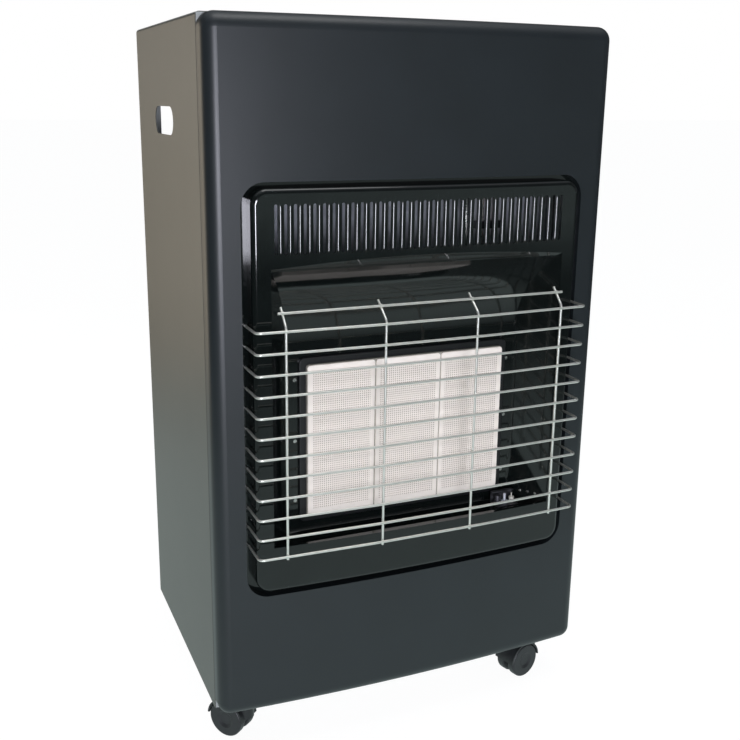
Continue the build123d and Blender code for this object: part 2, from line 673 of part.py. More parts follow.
def pilot_bracket():
    """Folded plate on the sill that holds the pilot burner, the thermocouple and the electrode."""
    half_length = 1.5 * PILOT_STEP
    middle = pilot_station(1)
    left, right = middle - half_length, middle + half_length
    back = PILOT_Y + PILOT_PLATE_WIDTH / 2
    top = SILL_Z + PILOT_PLATE_TALL
    plate = block(left, right, PILOT_Y - PILOT_PLATE_WIDTH / 2, back, SILL_Z, pilot_seat_z())
    plate += block(left, right, back - PILOT_PLATE_THICK, back, SILL_Z, top)
    plate += block(left, right, back - PILOT_PLATE_RIM, back, top - PILOT_PLATE_THICK, top)
    for index, diameter in enumerate((PILOT_TUBE, THERMO_LEAD, SPARK_LEAD)):
        plate -= tall_rod(diameter / 2 + FIT_PLAY, pilot_station(index), PILOT_Y, SILL_Z - SHEET,
                          pilot_seat_z() + SHEET)
    return plate


def pilot_burner():
    """Small brass pilot burner with its flame slot turned to the plaques."""
    low = pilot_seat_z()
    x = pilot_station(0)
    body = tall_rod(PILOT_RADIUS, x, PILOT_Y, low, low + PILOT_TALL)
    body += tall_rod(PILOT_FOOT_RADIUS, x, PILOT_Y, low, low + PILOT_FOOT)
    slot = block(x - 2 * PILOT_RADIUS, x, PILOT_Y - PILOT_SLOT / 2, PILOT_Y + PILOT_SLOT / 2,
                 low + PILOT_TALL / 2, low + PILOT_TALL - SHEET)
    return body - slot


def thermocouple():
    """Flame sensor: a slim rod on a hexagonal nut."""
    low = pilot_seat_z()
    x = pilot_station(1)
    nut = extrude(Pos(x, PILOT_Y, low) * RegularPolygon(THERMO_NUT, 6), PILOT_FOOT)
    return nut + tall_rod(THERMO_LEAD / 2, x, PILOT_Y, low, low + THERMO_TALL)


def spark_electrode():
    """Ceramic insulator with the spark wire on top."""
    low = pilot_seat_z()
    x = pilot_station(2)
    insulator = tall_rod(INSULATOR_RADIUS, x, PILOT_Y, low, low + INSULATOR_TALL)
    return insulator + tall_rod(SPARK_WIRE / 2, x, PILOT_Y, low, low + SPARK_TALL)


# ---- tubes and leads ----

def tube_along(points, diameter, bend):
    """Round tube along straight runs with equal bends."""
    path = FilletPolyline(*points, radius=bend)
    section = Plane(origin=path @ 0, z_dir=path % 0) * Circle(diameter / 2)
    return sweep(section, path=path)


def thin_run_x(index):
    """X at which each of the three thin runs drops in front of the heat shield."""
    return valve_right_x() + LEAD_STRAIGHT + LEAD_BEND + index * LEAD_STEP


def thin_run(index, start, diameter):
    """Tube or lead from the controls, over the heat shield, down, and up through the sill."""
    x = thin_run_x(index)
    under = SILL_Z - LEAD_UNDER
    points = start + [
        (x, LEAD_DROP_Y, start[-1][2]), (x, LEAD_DROP_Y, under),
        (pilot_station(index), PILOT_Y, under), (pilot_station(index), PILOT_Y, pilot_seat_z()),
    ]
    return tube_along(points, diameter, LEAD_BEND)


def feed_tube():
    """Gas tube from the valve over the heat shield down to the manifold."""
    z = valve_top_z() - VALVE_HEIGHT / 2
    points = [
        (knob_x(), valve_front_y(), z), (knob_x(), venturi_y(), z),
        (feed_x(), venturi_y(), FEED_KNEE_Z), (feed_x(), venturi_y(), MANIFOLD_Z),
    ]
    return tube_along(points, FEED_TUBE, FEED_BEND)


def pilot_tube():
    """Thin gas tube to the pilot burner."""
    y = TRAY_Y - VALVE_WIDTH / 4
    z = valve_top_z() - 3 * VALVE_HEIGHT / 4
    return thin_run(0, [(valve_right_x(), y, z), (thin_run_x(0), y, z)], PILOT_TUBE)


def thermocouple_lead():
    """Lead from the thermocouple to the valve."""
    y = TRAY_Y + VALVE_WIDTH / 4
    z = valve_top_z() - VALVE_HEIGHT / 2
    return thin_run(1, [(valve_right_x(), y, z), (thin_run_x(1), y, z)], THERMO_LEAD)


def spark_lead():
    """Insulated lead from the piezo igniter to the electrode."""
    low = piezo_low_z()
    return thin_run(2, [(piezo_x(), TRAY_Y, low), (piezo_x(), TRAY_Y, low - FEED_BEND)], SPARK_LEAD)


def lead_clips():
    """Two moulded clips on the heat shield, round the three thin runs."""
    clips = []
    for z in (HEAT_SHIELD_TOP_Z - LEAD_CLIP_DROP, (HEAT_SHIELD_TOP_Z + SILL_Z) / 2):
        clip = block(thin_run_x(0) - LEAD_STEP, thin_run_x(2) + LEAD_STEP, LEAD_DROP_Y - SPARK_LEAD,
                     HEAT_SHIELD_Y, z, z + LEAD_STEP)
        for index, diameter in enumerate((PILOT_TUBE, THERMO_LEAD, SPARK_LEAD)):
            clip -= tall_rod(diameter / 2 + FIT_PLAY, thin_run_x(index), LEAD_DROP_Y, z - SHEET,
                             z + LEAD_STEP + SHEET)
        clips.append(clip)
    return Compound(children=clips)


# ---- controls in the top ----

def knob_x():
    """X of the control knob and the gas valve."""
    return TRAY_X + KNOB_OFFSET_X


def piezo_x():
    """X of the piezo igniter."""
    return TRAY_X + PIEZO_OFFSET_X


def tray_floor_z():
    """Upper face of the control tray's floor."""
    return CABINET_TOP_Z - TRAY_DEPTH


def plate_z():
    """Upper face of the control plate, under the tray."""
    return tray_floor_z() - TRAY_WALL


def valve_top_z():
    """Upper face of the valve body, against the control plate."""
    return plate_z() - CONTROL_PLATE


def neck_top_z():
    """Upper end of the two necks, above the tray's floor and clear of the knob when it is pressed."""
    return tray_floor_z() + SHEET - SLIDE_PLAY


def valve_front_y():
    """Front face of the gas valve."""
    return TRAY_Y - VALVE_WIDTH / 2


def valve_right_x():
    """Right face of the gas valve."""
    return knob_x() + VALVE_LENGTH / 2


def piezo_low_z():
    """Lower end of the piezo igniter."""
    return valve_top_z() - PIEZO_LENGTH


def tray_form(inset, z0, z1):
    """Rounded outline of the control tray."""
    outline = RectangleRounded(TRAY_LENGTH - 2 * inset, TRAY_WIDTH - 2 * inset, TRAY_CORNER - inset)
    return extrude(Pos(TRAY_X, TRAY_Y, z0) * outline, z1 - z0)


def control_tray():
    """Moulded tray let into the top, with a rim on the sheet."""
    tray = tray_form(0, plate_z(), CABINET_TOP_Z) + tray_form(-TRAY_RIM, CABINET_TOP_Z, CABINET_TOP_Z + SHEET)
    tray -= tray_form(TRAY_WALL, tray_floor_z(), CABINET_TOP_Z + 2 * SHEET)
    for x in (knob_x(), piezo_x()):
        tray -= tall_rod(NECK_RADIUS + SLIDE_PLAY, x, TRAY_Y, plate_z() - SHEET, neck_top_z())
    return tray


def control_plate():
    """Sheet bracket under the top that carries the valve and the igniter."""
    half_width = TRAY_WIDTH / 2
    reach = TRAY_LENGTH / 2 + TRAY_RIM
    under_top = CABINET_TOP_Z - SHEET
    plate = block(TRAY_X - reach, TRAY_X + reach, TRAY_Y - half_width, TRAY_Y + half_width,
                  valve_top_z(), plate_z())
    for side in (-1, 1):
        inner = TRAY_X + side * reach
        outer = inner - side * CONTROL_PLATE
        tab_end = inner + side * FRONT_FLANGE
        plate += block(min(inner, outer), max(inner, outer), TRAY_Y - half_width, TRAY_Y + half_width,
                       valve_top_z(), under_top)
        plate += block(min(outer, tab_end), max(outer, tab_end), TRAY_Y - half_width, TRAY_Y + half_width,
                       under_top - CONTROL_PLATE, under_top)
    for x in (knob_x(), piezo_x()):
        plate -= tall_rod(NECK_RADIUS + FIT_PLAY, x, TRAY_Y, valve_top_z() - SHEET, plate_z() + SHEET)
    return plate


def gas_valve():
    """Die-cast valve body with a neck through the tray, an outlet boss and the inlet boss."""
    top = valve_top_z()
    body = block(knob_x() - VALVE_LENGTH / 2, valve_right_x(), valve_front_y(), valve_front_y() + VALVE_WIDTH,
                 top - VALVE_HEIGHT, top)
    body = fillet(body.edges().filter_by(Axis.Z), VALVE_ROUND)
    body += tall_rod(NECK_RADIUS, knob_x(), TRAY_Y, top, neck_top_z())
    return body - tall_rod(PLUNGER_RADIUS + HINGE_PLAY, knob_x(), TRAY_Y, plunger_low_z() - BUTTON_TRAVEL,
                           neck_top_z())


def plunger_low_z():
    """Lower end of the plunger at rest."""
    return valve_top_z() - VALVE_HEIGHT / 2


def plunger_top_z():
    """Upper end of the plunger at rest, inside the knob's skirt."""
    return neck_top_z() + KNOB_TRAVEL + SLIDE_PLAY + SHEET


def valve_plunger():
    """Sleeve that goes down with the knob but doesn't turn."""
    sleeve = tall_rod(PLUNGER_RADIUS, knob_x(), TRAY_Y, plunger_low_z(), plunger_top_z())
    return sleeve - tall_rod(SPINDLE_RADIUS + HINGE_PLAY, knob_x(), TRAY_Y,
                             plunger_low_z() + PLUNGER_RADIUS, plunger_top_z())


def knob_low_z():
    """Lower edge of the knob's skirt at rest."""
    return tray_floor_z() + KNOB_TRAVEL + SHEET


def valve_spindle():
    """Turning spindle inside the plunger, with the collar that the knob sits on."""
    collar_low = plunger_top_z() + HINGE_PLAY
    rod = tall_rod(SPINDLE_RADIUS, knob_x(), TRAY_Y, plunger_low_z() + PLUNGER_RADIUS + SLIDE_PLAY,
                   knob_low_z() + KNOB_HEIGHT - 2 * TRAY_WALL)
    return rod + tall_rod(PLUNGER_RADIUS, knob_x(), TRAY_Y, collar_low, knob_seat_z())


def knob_seat_z():
    """Ceiling of the knob's hollow, on the spindle's collar."""
    return plunger_top_z() + TRAY_WALL


def control_knob():
    """Round knob with a raised grip bar and a hollow skirt."""
    low = knob_low_z()
    top = low + KNOB_HEIGHT
    disc_top = low + KNOB_HEIGHT / 2
    disc = tall_rod(KNOB_RADIUS, knob_x(), TRAY_Y, low, disc_top)
    disc = chamfer(disc.edges().group_by(Axis.Z)[-1], SHEET)
    grip_outline = SlotOverall(2 * KNOB_RADIUS - 4 * SHEET, KNOB_RADIUS / 2)
    grip = extrude(Pos(knob_x(), TRAY_Y, disc_top) * grip_outline, top - disc_top)
    grip = fillet(grip.edges().group_by(Axis.Z)[-1], SHEET)
    disc += tall_rod(PLUNGER_RADIUS + TRAY_WALL, knob_x(), TRAY_Y, disc_top, top - 2 * SHEET)
    knob = disc + grip
    knob -= tall_rod(NECK_RADIUS + TRAY_WALL, knob_x(), TRAY_Y, low, knob_seat_z())
    return knob - tall_rod(SPINDLE_RADIUS, knob_x(), TRAY_Y, low, top - 2 * TRAY_WALL)


def piezo_body():
    """Igniter case under the control plate, with a threaded neck through the tray."""
    case = tall_rod(PIEZO_RADIUS, piezo_x(), TRAY_Y, piezo_low_z(), valve_top_z())
    case += tall_rod(NECK_RADIUS, piezo_x(), TRAY_Y, valve_top_z(), neck_top_z())
    bore_low = button_low_z() - BUTTON_TRAVEL - SHEET
    return case - tall_rod(BUTTON_RADIUS + SLIDE_PLAY, piezo_x(), TRAY_Y, bore_low, neck_top_z())


def button_low_z():
    """Lower end of the igniter's button at rest."""
    return valve_top_z() - BUTTON_RADIUS


def piezo_button():
    """Push button of the igniter."""
    button = tall_rod(BUTTON_RADIUS, piezo_x(), TRAY_Y, button_low_z(),
                      neck_top_z() + BUTTON_TRAVEL + 2 * SHEET)
    return fillet(button.edges().group_by(Axis.Z)[-1], SHEET)


def hose_tail():
    """Barbed nozzle on the valve's left, for the gas hose."""
    x = knob_x() - VALVE_LENGTH / 2
    z = valve_top_z() - VALVE_HEIGHT / 2
    lying = (0, -90, 0)
    base_up = (Align.CENTER, Align.CENTER, Align.MIN)
    tail = Pos(x, TRAY_Y, z) * Cylinder(HOSE_RADIUS * 1.6, HOSE_NUT, rotation=lying, align=base_up)
    tail += Pos(x, TRAY_Y, z) * Cylinder(HOSE_RADIUS, HOSE_NUT + HOSE_LENGTH, rotation=lying, align=base_up)
    for index in range(HOSE_BARBS):
        at = x - HOSE_NUT - HOSE_PLAIN - index * HOSE_BARB_PITCH
        barb = Cone(HOSE_RADIUS + HOSE_BARB_RISE, HOSE_RADIUS, HOSE_BARB_PITCH, rotation=lying, align=base_up)
        tail += Pos(at, TRAY_Y, z) * barb
    bore = Cylinder(HOSE_RADIUS / 2, HOSE_NUT + HOSE_LENGTH, rotation=lying, align=base_up)
    return tail - Pos(x, TRAY_Y, z) * bore


# ---- wire guard ----

def guard_bar(z):
    """Long bar: bowed front run, with both ends bent back through the gap onto the surround's flange."""
    end_y = OPENING_LIP_Y - WELD_GAP
    knee = BAR_HALF / 3
    points = [
        (-BAR_HALF, end_y, z), (-BAR_HALF, BAR_Y, z), (-knee, BAR_Y - BAR_BOW, z), (knee, BAR_Y - BAR_BOW, z),
        (BAR_HALF, BAR_Y, z), (BAR_HALF, end_y, z),
    ]
    path = FilletPolyline(*points, radius=[GUARD_BEND, BAR_HALF, BAR_HALF, GUARD_BEND])
    section = Plane(origin=path @ 0, z_dir=path % 0) * Circle(WIRE / 2)
    return sweep(section, path=path)


def bar_front_y(x):
    """Depth of a long bar's axis at x."""
    knee = BAR_HALF / 3
    share = min(1.0, (BAR_HALF - abs(x)) / (BAR_HALF - knee))
    return BAR_Y - BAR_BOW * share


def guard_post(x):
    """Upright wire behind the long bars, bent back above them so that it passes behind the short bar."""
    reach = WIRE + WELD_GAP
    y = bar_front_y(x) + reach
    bend_z = BAR_LOW_Z + (BAR_COUNT - 1) * BAR_PITCH + GUARD_BEND / 2
    run = hypot(SHORT_BAR_Y - y, SHORT_BAR_Z - bend_z)
    lean = tan(atan2(SHORT_BAR_Y - y, SHORT_BAR_Z - bend_z) + asin(reach / run))
    top_z = SHORT_BAR_Z + POST_TIP
    points = [(x, y, BAR_LOW_Z - POST_TIP), (x, y, bend_z), (x, y + lean * (top_z - bend_z), top_z)]
    return tube_along(points, WIRE, GUARD_BEND)


def wire_guard():
    """The guard's twelve long bars, each its own wire."""
    return Compound(children=[guard_bar(BAR_LOW_Z + index * BAR_PITCH) for index in range(BAR_COUNT)])


def guard_uprights():
    """The guard's four upright wires and the short bar that joins their tops."""
    short_half = OPENING_WIDTH / 2 - SHORT_BAR_INSET
    short_bar = Pos(0, SHORT_BAR_Y, SHORT_BAR_Z) * Cylinder(WIRE / 2, 2 * short_half, rotation=(0, 90, 0))
    return Compound(children=[short_bar] + [guard_post(share * BAR_HALF) for share in POST_SHARES])


# ---- heat shield, base and rear cover ----

def base_top_z():
    """Upper face of the base."""
    return BASE_Z + BASE_SHEET


def heat_shield():
    """Sheet between the burner and the gas bottle, with flanges all round, notched for the base's rim."""
    half = HALF - SHEET
    shield = block(-half, half, HEAT_SHIELD_Y, HEAT_SHIELD_Y + SHEET, base_top_z(), HEAT_SHIELD_TOP_Z)
    back = HEAT_SHIELD_Y + SHIELD_FLANGE
    lip_top = base_top_z() + BASE_LIP
    for x in (-half, half - SHEET):
        shield += block(x, x + SHEET, HEAT_SHIELD_Y, back, base_top_z(), HEAT_SHIELD_TOP_Z)
    shield += block(-half, half, HEAT_SHIELD_Y, back, base_top_z(), base_top_z() + SHEET)
    shield += block(-half, half, HEAT_SHIELD_Y, HEAT_SHIELD_Y + SHIELD_FLANGE / 2,
                    HEAT_SHIELD_TOP_Z - SHEET, HEAT_SHIELD_TOP_Z)
    for side in (-1, 1):
        x0, x1 = sorted((side * (half - BASE_SHEET), side * HALF))
        shield -= block(x0, x1, HEAT_SHIELD_Y - SHEET, back + SHEET, base_top_z(), lip_top)
    return shield


def caster_places():
    """Swivel axis of each caster, by name."""
    return {
        "fl": (-CASTER_X, CASTER_FRONT_Y), "fr": (CASTER_X, CASTER_FRONT_Y),
        "rl": (-CASTER_X, CASTER_REAR_Y), "rr": (CASTER_X, CASTER_REAR_Y),
    }


def base_block(inset, z0, z1):
    """Outline of the base between two heights, drawn in by the inset."""
    half = HALF - SHEET - inset
    return block(-half, half, SEAM_Y + SHEET + inset, BACK_Y - SHEET - inset, z0, z1)


def base_rim():
    """Upright strip welded on round the floor: it stiffens it and carries the cover's lower hooks."""
    top = base_top_z()
    return base_block(0, top, top + BASE_LIP) - base_block(BASE_SHEET, top - SHEET, top + 2 * BASE_LIP)


def base_pan():
    """Floor of the cabinet, with the bottle's seat, air slots and the caster holes."""
    top = base_top_z()
    pan = base_block(0, BASE_Z, top)
    seat = (HALF - SEAT_INSET, SEAT_FRONT_Y, SEAT_BACK_Y, SEAT_CORNER)
    pan = pressed_up(pan, *seat, top, BASE_SHEET, SEAT_RISE)
    for side in (-1, 1):
        for index in range(BASE_SLOTS):
            slot_y = BOTTLE_Y + (index - (BASE_SLOTS - 1) / 2) * BASE_SLOT_PITCH
            slot = Pos(side * (HALF - BASE_SLOT_INSET), slot_y, BASE_Z - BASE_SHEET)
            pan -= extrude(slot * SlotOverall(BASE_SLOT_LENGTH, BASE_SLOT_WIDTH), 4 * BASE_SHEET)
    for x, y in caster_places().values():
        pan -= tall_rod(STEM_RADIUS + FIT_PLAY, x, y, BASE_Z - SHEET, top + SHEET)
    return pan


def cover_wall_y():
    """Back face of the cover's body, from which the louvres' hoods are pressed out."""
    return COVER_BACK_Y - LOUVRE_RISE


def louvre_form(x, z, inset):
    """Form of one louvre's hood, drawn in by the inset: the upper half of a low stadium with a sloped rim."""
    outline = Pos(x, 0) * SlotOverall(LOUVRE_LENGTH - 2 * inset, 2 * (LOUVRE_HEIGHT - inset))
    hood = extrude(facing_plane(cover_wall_y() - inset, z) * outline, LOUVRE_RISE, taper=LOUVRE_SLOPE)
    return hood & block(x - LOUVRE_LENGTH, x + LOUVRE_LENGTH, 0, COVER_BACK_Y + SHEET, z, z + LOUVRE_LENGTH)


def cover_body(inset):
    """Pressed-out body of the rear cover, drawn in by the inset."""
    front = BACK_Y + HANG_PLAY
    half = COVER_HALF - inset
    form = block(-half, half, front, cover_wall_y() - inset,
                 COVER_LOW_Z + COVER_EDGE + inset, COVER_TOP_Z - COVER_EDGE - inset)
    bends = [e for e in form.edges() if e.center().Y > front + SHEET]
    return fillet(bends, COVER_BEND - inset)


def cover_hook(x, z):
    """Hook on the cover's flange that hangs over an edge at z."""
    reach = BACK_Y - SHEET - BASE_SHEET - HOOK_GAP
    seat = z + HANG_PLAY
    arm = block(x - HOOK_WIDTH / 2, x + HOOK_WIDTH / 2, reach - SHEET, BACK_Y + HANG_PLAY, seat, seat + SHEET)
    return arm + block(x - HOOK_WIDTH / 2, x + HOOK_WIDTH / 2, reach - SHEET, reach,
                       seat - HOOK_WIDTH, seat + SHEET)


def rear_cover():
    """Lift-off cover: flange, pressed-out body with hooded louvres that open downwards, and four hooks."""
    front = BACK_Y + HANG_PLAY
    cover = block(-COVER_FLANGE_HALF, COVER_FLANGE_HALF, front, front + SHEET, COVER_LOW_Z, COVER_TOP_Z)
    corners = cover.edges().filter_by(Axis.Y)
    cover = fillet(corners, COVER_EDGE)
    cover += cover_body(0)
    cover -= cover_body(SHEET)
    middle = (COVER_LOW_Z + COVER_TOP_Z) / 2
    for row in range(LOUVRE_ROWS):
        for side in (-1, 1):
            x = side * (LOUVRE_LENGTH / 2 + COVER_BEND)
            z = middle + (row - (LOUVRE_ROWS - 1) / 2) * LOUVRE_PITCH
            cover += louvre_form(x, z, 0)
            cover -= louvre_form(x, z, SHEET)
    for side in (-1, 1):
        cover += cover_hook(side * (HALF - REAR_FLANGE - HOOK_LUG / 2), hook_lug_z())
        cover += cover_hook(side * LOWER_HOOK_X, base_top_z() + BASE_LIP)
    return cover


# ---- casters: local X is the axle, local Y points from the swivel axis to the axle ----

def caster_hood():
    """Swivel hub, web between the wheels and the guard over them."""
    half = WHEEL_GAP / 2 + WHEEL_WIDTH
    run = WHEEL_RADIUS + HOOD_PLAY
    lying = (0, 90, 0)
    guard = Pos(0, CASTER_TRAIL, WHEEL_RADIUS) * Cylinder(run + HOOD_THICK, 2 * half, rotation=lying)
    hood = guard & block(-HALF, HALF, -HALF, HALF, WHEEL_RADIUS + HOOD_THICK, CABINET_LOW_Z)
    hood += Pos(0, CASTER_TRAIL, WHEEL_RADIUS) * Cylinder(WHEEL_RADIUS / 2, WHEEL_GAP, rotation=lying)
    hood += tall_rod(HUB_RADIUS, 0, 0, WHEEL_RADIUS + STEM_RADIUS, BASE_Z - SLIDE_PLAY)
    for side in (-1, 1):
        inner = WHEEL_GAP / 2 - HOOD_PLAY / 2
        x0, x1 = sorted((side * inner, side * 2 * half))
        room = Pos((x0 + x1) / 2, CASTER_TRAIL, WHEEL_RADIUS) * Cylinder(run, x1 - x0, rotation=lying)
        hood -= room
    hood -= tall_rod(STEM_RADIUS + HINGE_PLAY, 0, 0, stem_low_z() - SLIDE_PLAY, BASE_Z)
    return hood - Pos(0, CASTER_TRAIL, WHEEL_RADIUS) * Cylinder(AXLE_RADIUS, 2 * half, rotation=lying)


def stem_low_z():
    """Lower end of a caster's stem, inside its hub."""
    return WHEEL_RADIUS + HUB_RADIUS + 2 * STEM_RADIUS


def caster_axle():
    """Axle through the web, ending inside both wheels."""
    reach = WHEEL_GAP / 2 + WHEEL_WIDTH - 2 * WHEEL_COVER
    return Pos(0, CASTER_TRAIL, WHEEL_RADIUS) * Cylinder(AXLE_RADIUS, 2 * reach, rotation=(0, 90, 0))


def caster_wheel(side):
    """Moulded wheel: rounded tread, shallow dished face, bore from the inner side."""
    outline = make_face(Polyline(
        (0, 0), (WHEEL_RADIUS, 0), (WHEEL_RADIUS, WHEEL_WIDTH), (WHEEL_RADIUS / 2, WHEEL_WIDTH),
        (WHEEL_RADIUS / 3, WHEEL_WIDTH - WHEEL_COVER), (0, WHEEL_WIDTH - WHEEL_COVER), close=True,
    ))
    wheel = revolve(Plane.XZ * outline, Axis.Z)
    tread = [e for e in wheel.edges().filter_by(GeomType.CIRCLE) if e.radius > WHEEL_RADIUS - SHEET / 2]
    wheel = fillet(tread, WHEEL_EDGE)
    wheel -= tall_rod(AXLE_RADIUS + HINGE_PLAY, 0, 0, 0, WHEEL_WIDTH - 1.6 * WHEEL_COVER)
    turned = Rot(0, side * 90, 0) * wheel
    return Pos(side * WHEEL_GAP / 2, CASTER_TRAIL, WHEEL_RADIUS) * turned


def at_caster(name, shape):
    """Place a caster piece on its swivel axis, turned as the caster stands."""
    x, y = caster_places()[name]
    return Pos(x, y, 0) * Rot(0, 0, CASTER_TURN[name]) * shape


def caster_stems():
    """Four stems with their nuts on top of the base."""
    stems = []
    for x, y in caster_places().values():
        nut = extrude(Pos(x, y, base_top_z()) * RegularPolygon(2 * STEM_RADIUS, 6), STEM_RADIUS)
        stems.append(nut + tall_rod(STEM_RADIUS, x, y, stem_low_z(), base_top_z() + 2 * STEM_RADIUS))
    return Compound(children=stems)


# ---- screws ----

def screw(x, y, z, length):
    """Pan-head screw whose head sits behind a face at y."""
    head = Cylinder(SCREW_HEAD, SCREW_HEAD_THICK, rotation=(90, 0, 0))
    shank = Cylinder(SCREW_SHANK, length, rotation=(90, 0, 0))
    return Pos(x, y + SCREW_HEAD_THICK / 2, z) * head + Pos(x, y - length / 2, z) * shank


def screw_hole(x, y, z):
    """Cutter for a screw's hole in the sheets at y."""
    return Pos(x, y, z) * Cylinder(SCREW_SHANK + FIT_PLAY, 4 * SHEET, rotation=(90, 0, 0))


def seam_screw_places():
    """Screws that join the cabinet's front flange to the panel's flange."""
    x = HALF - FRONT_FLANGE / 2
    rows = [CABINET_LOW_Z + CABINET_HEIGHT * share for share in (0.12, 0.5, 0.88)]
    return [(side * x, z) for side in (-1, 1) for z in rows]


def surround_screw_places():
    """Screws that hold the surround's flange to the opening's flange."""
    half_x = OPENING_WIDTH / 2 + SURROUND_FLANGE / 2
    half_z = OPENING_HEIGHT / 2 + SURROUND_FLANGE / 2
    sides = [(side * half_x, OPENING_Z + share * half_z) for side in (-1, 1) for share in (-0.6, 0.6)]
    ends = [(side * half_x / 2, OPENING_Z + end * half_z) for side in (-1, 1) for end in (-1, 1)]
    return sides + ends


def burner_screw_places():
    """Screws that hold the burner's flange to the chamber's back."""
    half_x = burner_inner_width() / 2 + FRAME_WIDTH + SCREW_HEAD
    half_z = burner_inner_height() / 2
    return [(side * half_x, PLAQUE_Z + end * half_z * 0.8) for side in (-1, 1) for end in (-1, 0, 1)]


def screws(places, y, length):
    """Group of screws with their heads towards the back."""
    return Compound(children=[screw(x, y, z, length) for x, z in places])


def with_holes(shape, places, y):
    """Shape with the screws' holes cut at y."""
    for x, z in places:
        shape -= screw_hole(x, y, z)
    return shape


def build_nodes():
    """Every piece of the heater by the name of its file."""
    seam_places = seam_screw_places()
    surround_places = surround_screw_places()
    burner_places = burner_screw_places()
    surround_seat = OPENING_LIP_Y + SHEET
    panel = with_holes(front_panel(), seam_places, SEAM_Y)
    surround = with_holes(combustion_surround(), surround_places, surround_seat)
    nodes = {
        "cabinet_wrap": with_holes(cabinet_wrap(), seam_places, SEAM_Y),
        "front_panel": with_holes(panel, surround_places, surround_seat),
        "combustion_surround": with_holes(surround, burner_places, burner_front_y()),
        "plaque_frame": plaque_frame(),
        "plaque_gasket": plaque_gasket(),
        "plaque_left": plaque(0),
        "plaque_middle": plaque(1),
        "plaque_right": plaque(2),
        "burner_body": with_holes(burner_body(), burner_places, burner_front_y()),
        "venturi_tubes": venturi_tubes(),
        "injector_manifold": injector_manifold(),
        "injectors": injectors(),
        "manifold_brackets": manifold_brackets(),
        "cheek_rivets": cheek_rivets(),
        "pilot_bracket": pilot_bracket(),
        "pilot_burner": pilot_burner(),
        "thermocouple": thermocouple(),
        "spark_electrode": spark_electrode(),
        "feed_tube": feed_tube(),
        "pilot_tube": pilot_tube(),
        "thermocouple_lead": thermocouple_lead(),
        "spark_lead": spark_lead(),
        "lead_clips": lead_clips(),
        "wire_guard": wire_guard(),
        "guard_uprights": guard_uprights(),
        "heat_shield": heat_shield(),
        "base_pan": base_pan(),
        "base_rim": base_rim(),
        "control_tray": control_tray(),
        "control_plate": control_plate(),
        "gas_valve": gas_valve(),
        "valve_plunger": valve_plunger(),
        "valve_spindle": valve_spindle(),
        "control_knob": control_knob(),
        "piezo_body": piezo_body(),
        "piezo_button": piezo_button(),
        "hose_tail": hose_tail(),
        "rear_cover": rear_cover(),
        "caster_stems": caster_stems(),
        "seam_screws": screws(seam_places, SEAM_Y + SHEET, SCREW_LENGTH),
        "surround_screws": screws(surround_places, surround_seat, SCREW_LENGTH),
        "burner_screws": screws(burner_places, burner_front_y() + BURNER_WALL, BURNER_WALL + SHEET / 2),
    }
    for name in caster_places():
        nodes[f"caster_hood_{name}"] = at_caster(name, caster_hood())
        nodes[f"caster_axle_{name}"] = at_caster(name, caster_axle())
        nodes[f"caster_wheel_{name}_left"] = at_caster(name, caster_wheel(-1))
        nodes[f"caster_wheel_{name}_right"] = at_caster(name, caster_wheel(1))
    return nodes


os.makedirs("parts", exist_ok=True)
for node, shape in build_nodes().items():
    export_step(Pos(0, CENTRE_Y, 0) * shape, f"parts/{node}.step")
print("depth shift", round(CENTRE_Y, 3))
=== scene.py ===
"""Portable gas cabinet heater: finishes, fine detail, light and camera.

The sheet-steel cabinet, the enamelled surround, the burner, the guard and the casters come from the CAD
frame. Here they get their finishes, and the small things that CAD leaves out are built: the weld nuggets
where the guard's wires cross, and the printed markings round the control knob and beside the igniter's
button.
"""
import json
import math

import bpy
from mathutils import Matrix, Vector


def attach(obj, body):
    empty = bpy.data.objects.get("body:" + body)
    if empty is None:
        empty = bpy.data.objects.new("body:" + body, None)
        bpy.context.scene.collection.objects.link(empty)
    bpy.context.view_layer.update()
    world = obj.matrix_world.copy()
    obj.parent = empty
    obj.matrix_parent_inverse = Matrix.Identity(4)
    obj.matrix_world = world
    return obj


MM = 0.001

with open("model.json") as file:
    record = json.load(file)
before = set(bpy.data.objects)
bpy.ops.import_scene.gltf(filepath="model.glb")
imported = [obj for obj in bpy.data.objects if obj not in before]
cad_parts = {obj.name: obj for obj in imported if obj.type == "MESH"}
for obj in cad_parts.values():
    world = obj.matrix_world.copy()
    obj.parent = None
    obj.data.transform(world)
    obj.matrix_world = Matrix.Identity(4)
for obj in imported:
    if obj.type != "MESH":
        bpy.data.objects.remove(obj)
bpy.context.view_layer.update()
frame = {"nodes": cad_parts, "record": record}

# ---- places taken over from the CAD model, in metres ----
DEPTH_SHIFT = -0.165475           # from the front panel's side bends to the row frame's origin
WIRE_RADIUS = 0.0013
BAR_COUNT = 12
BAR_LOW_Z = 0.2353
BAR_PITCH = 0.02043
BAR_HALF = 0.1785
BAR_Y = DEPTH_SHIFT - 0.0295
BAR_BOW = 0.0045
POST_X = (-0.149583, -0.04998, 0.04998, 0.149583)
SHORT_BAR_Y = DEPTH_SHIFT - 0.020
SHORT_BAR_Z = 0.475
KNOB_X = 0.082
BUTTON_X = 0.154
TRAY_Y = DEPTH_SHIFT + 0.238
TRAY_FLOOR_Z = 0.720
KNOB_TOP_Z = 0.742
PLAQUE_PITCH = 0.0744
PLAQUE_MID_Z = 0.3305
FIELD_HALF_WIDTH = 0.0318         # the pierced field of a plaque
FIELD_HALF_HEIGHT = 0.0735
WRAP_INNER_X = 0.21262            # just outside the wrap's inner faces
WRAP_INNER_TOP = 0.73912
WRAP_INNER_BACK = 0.1300

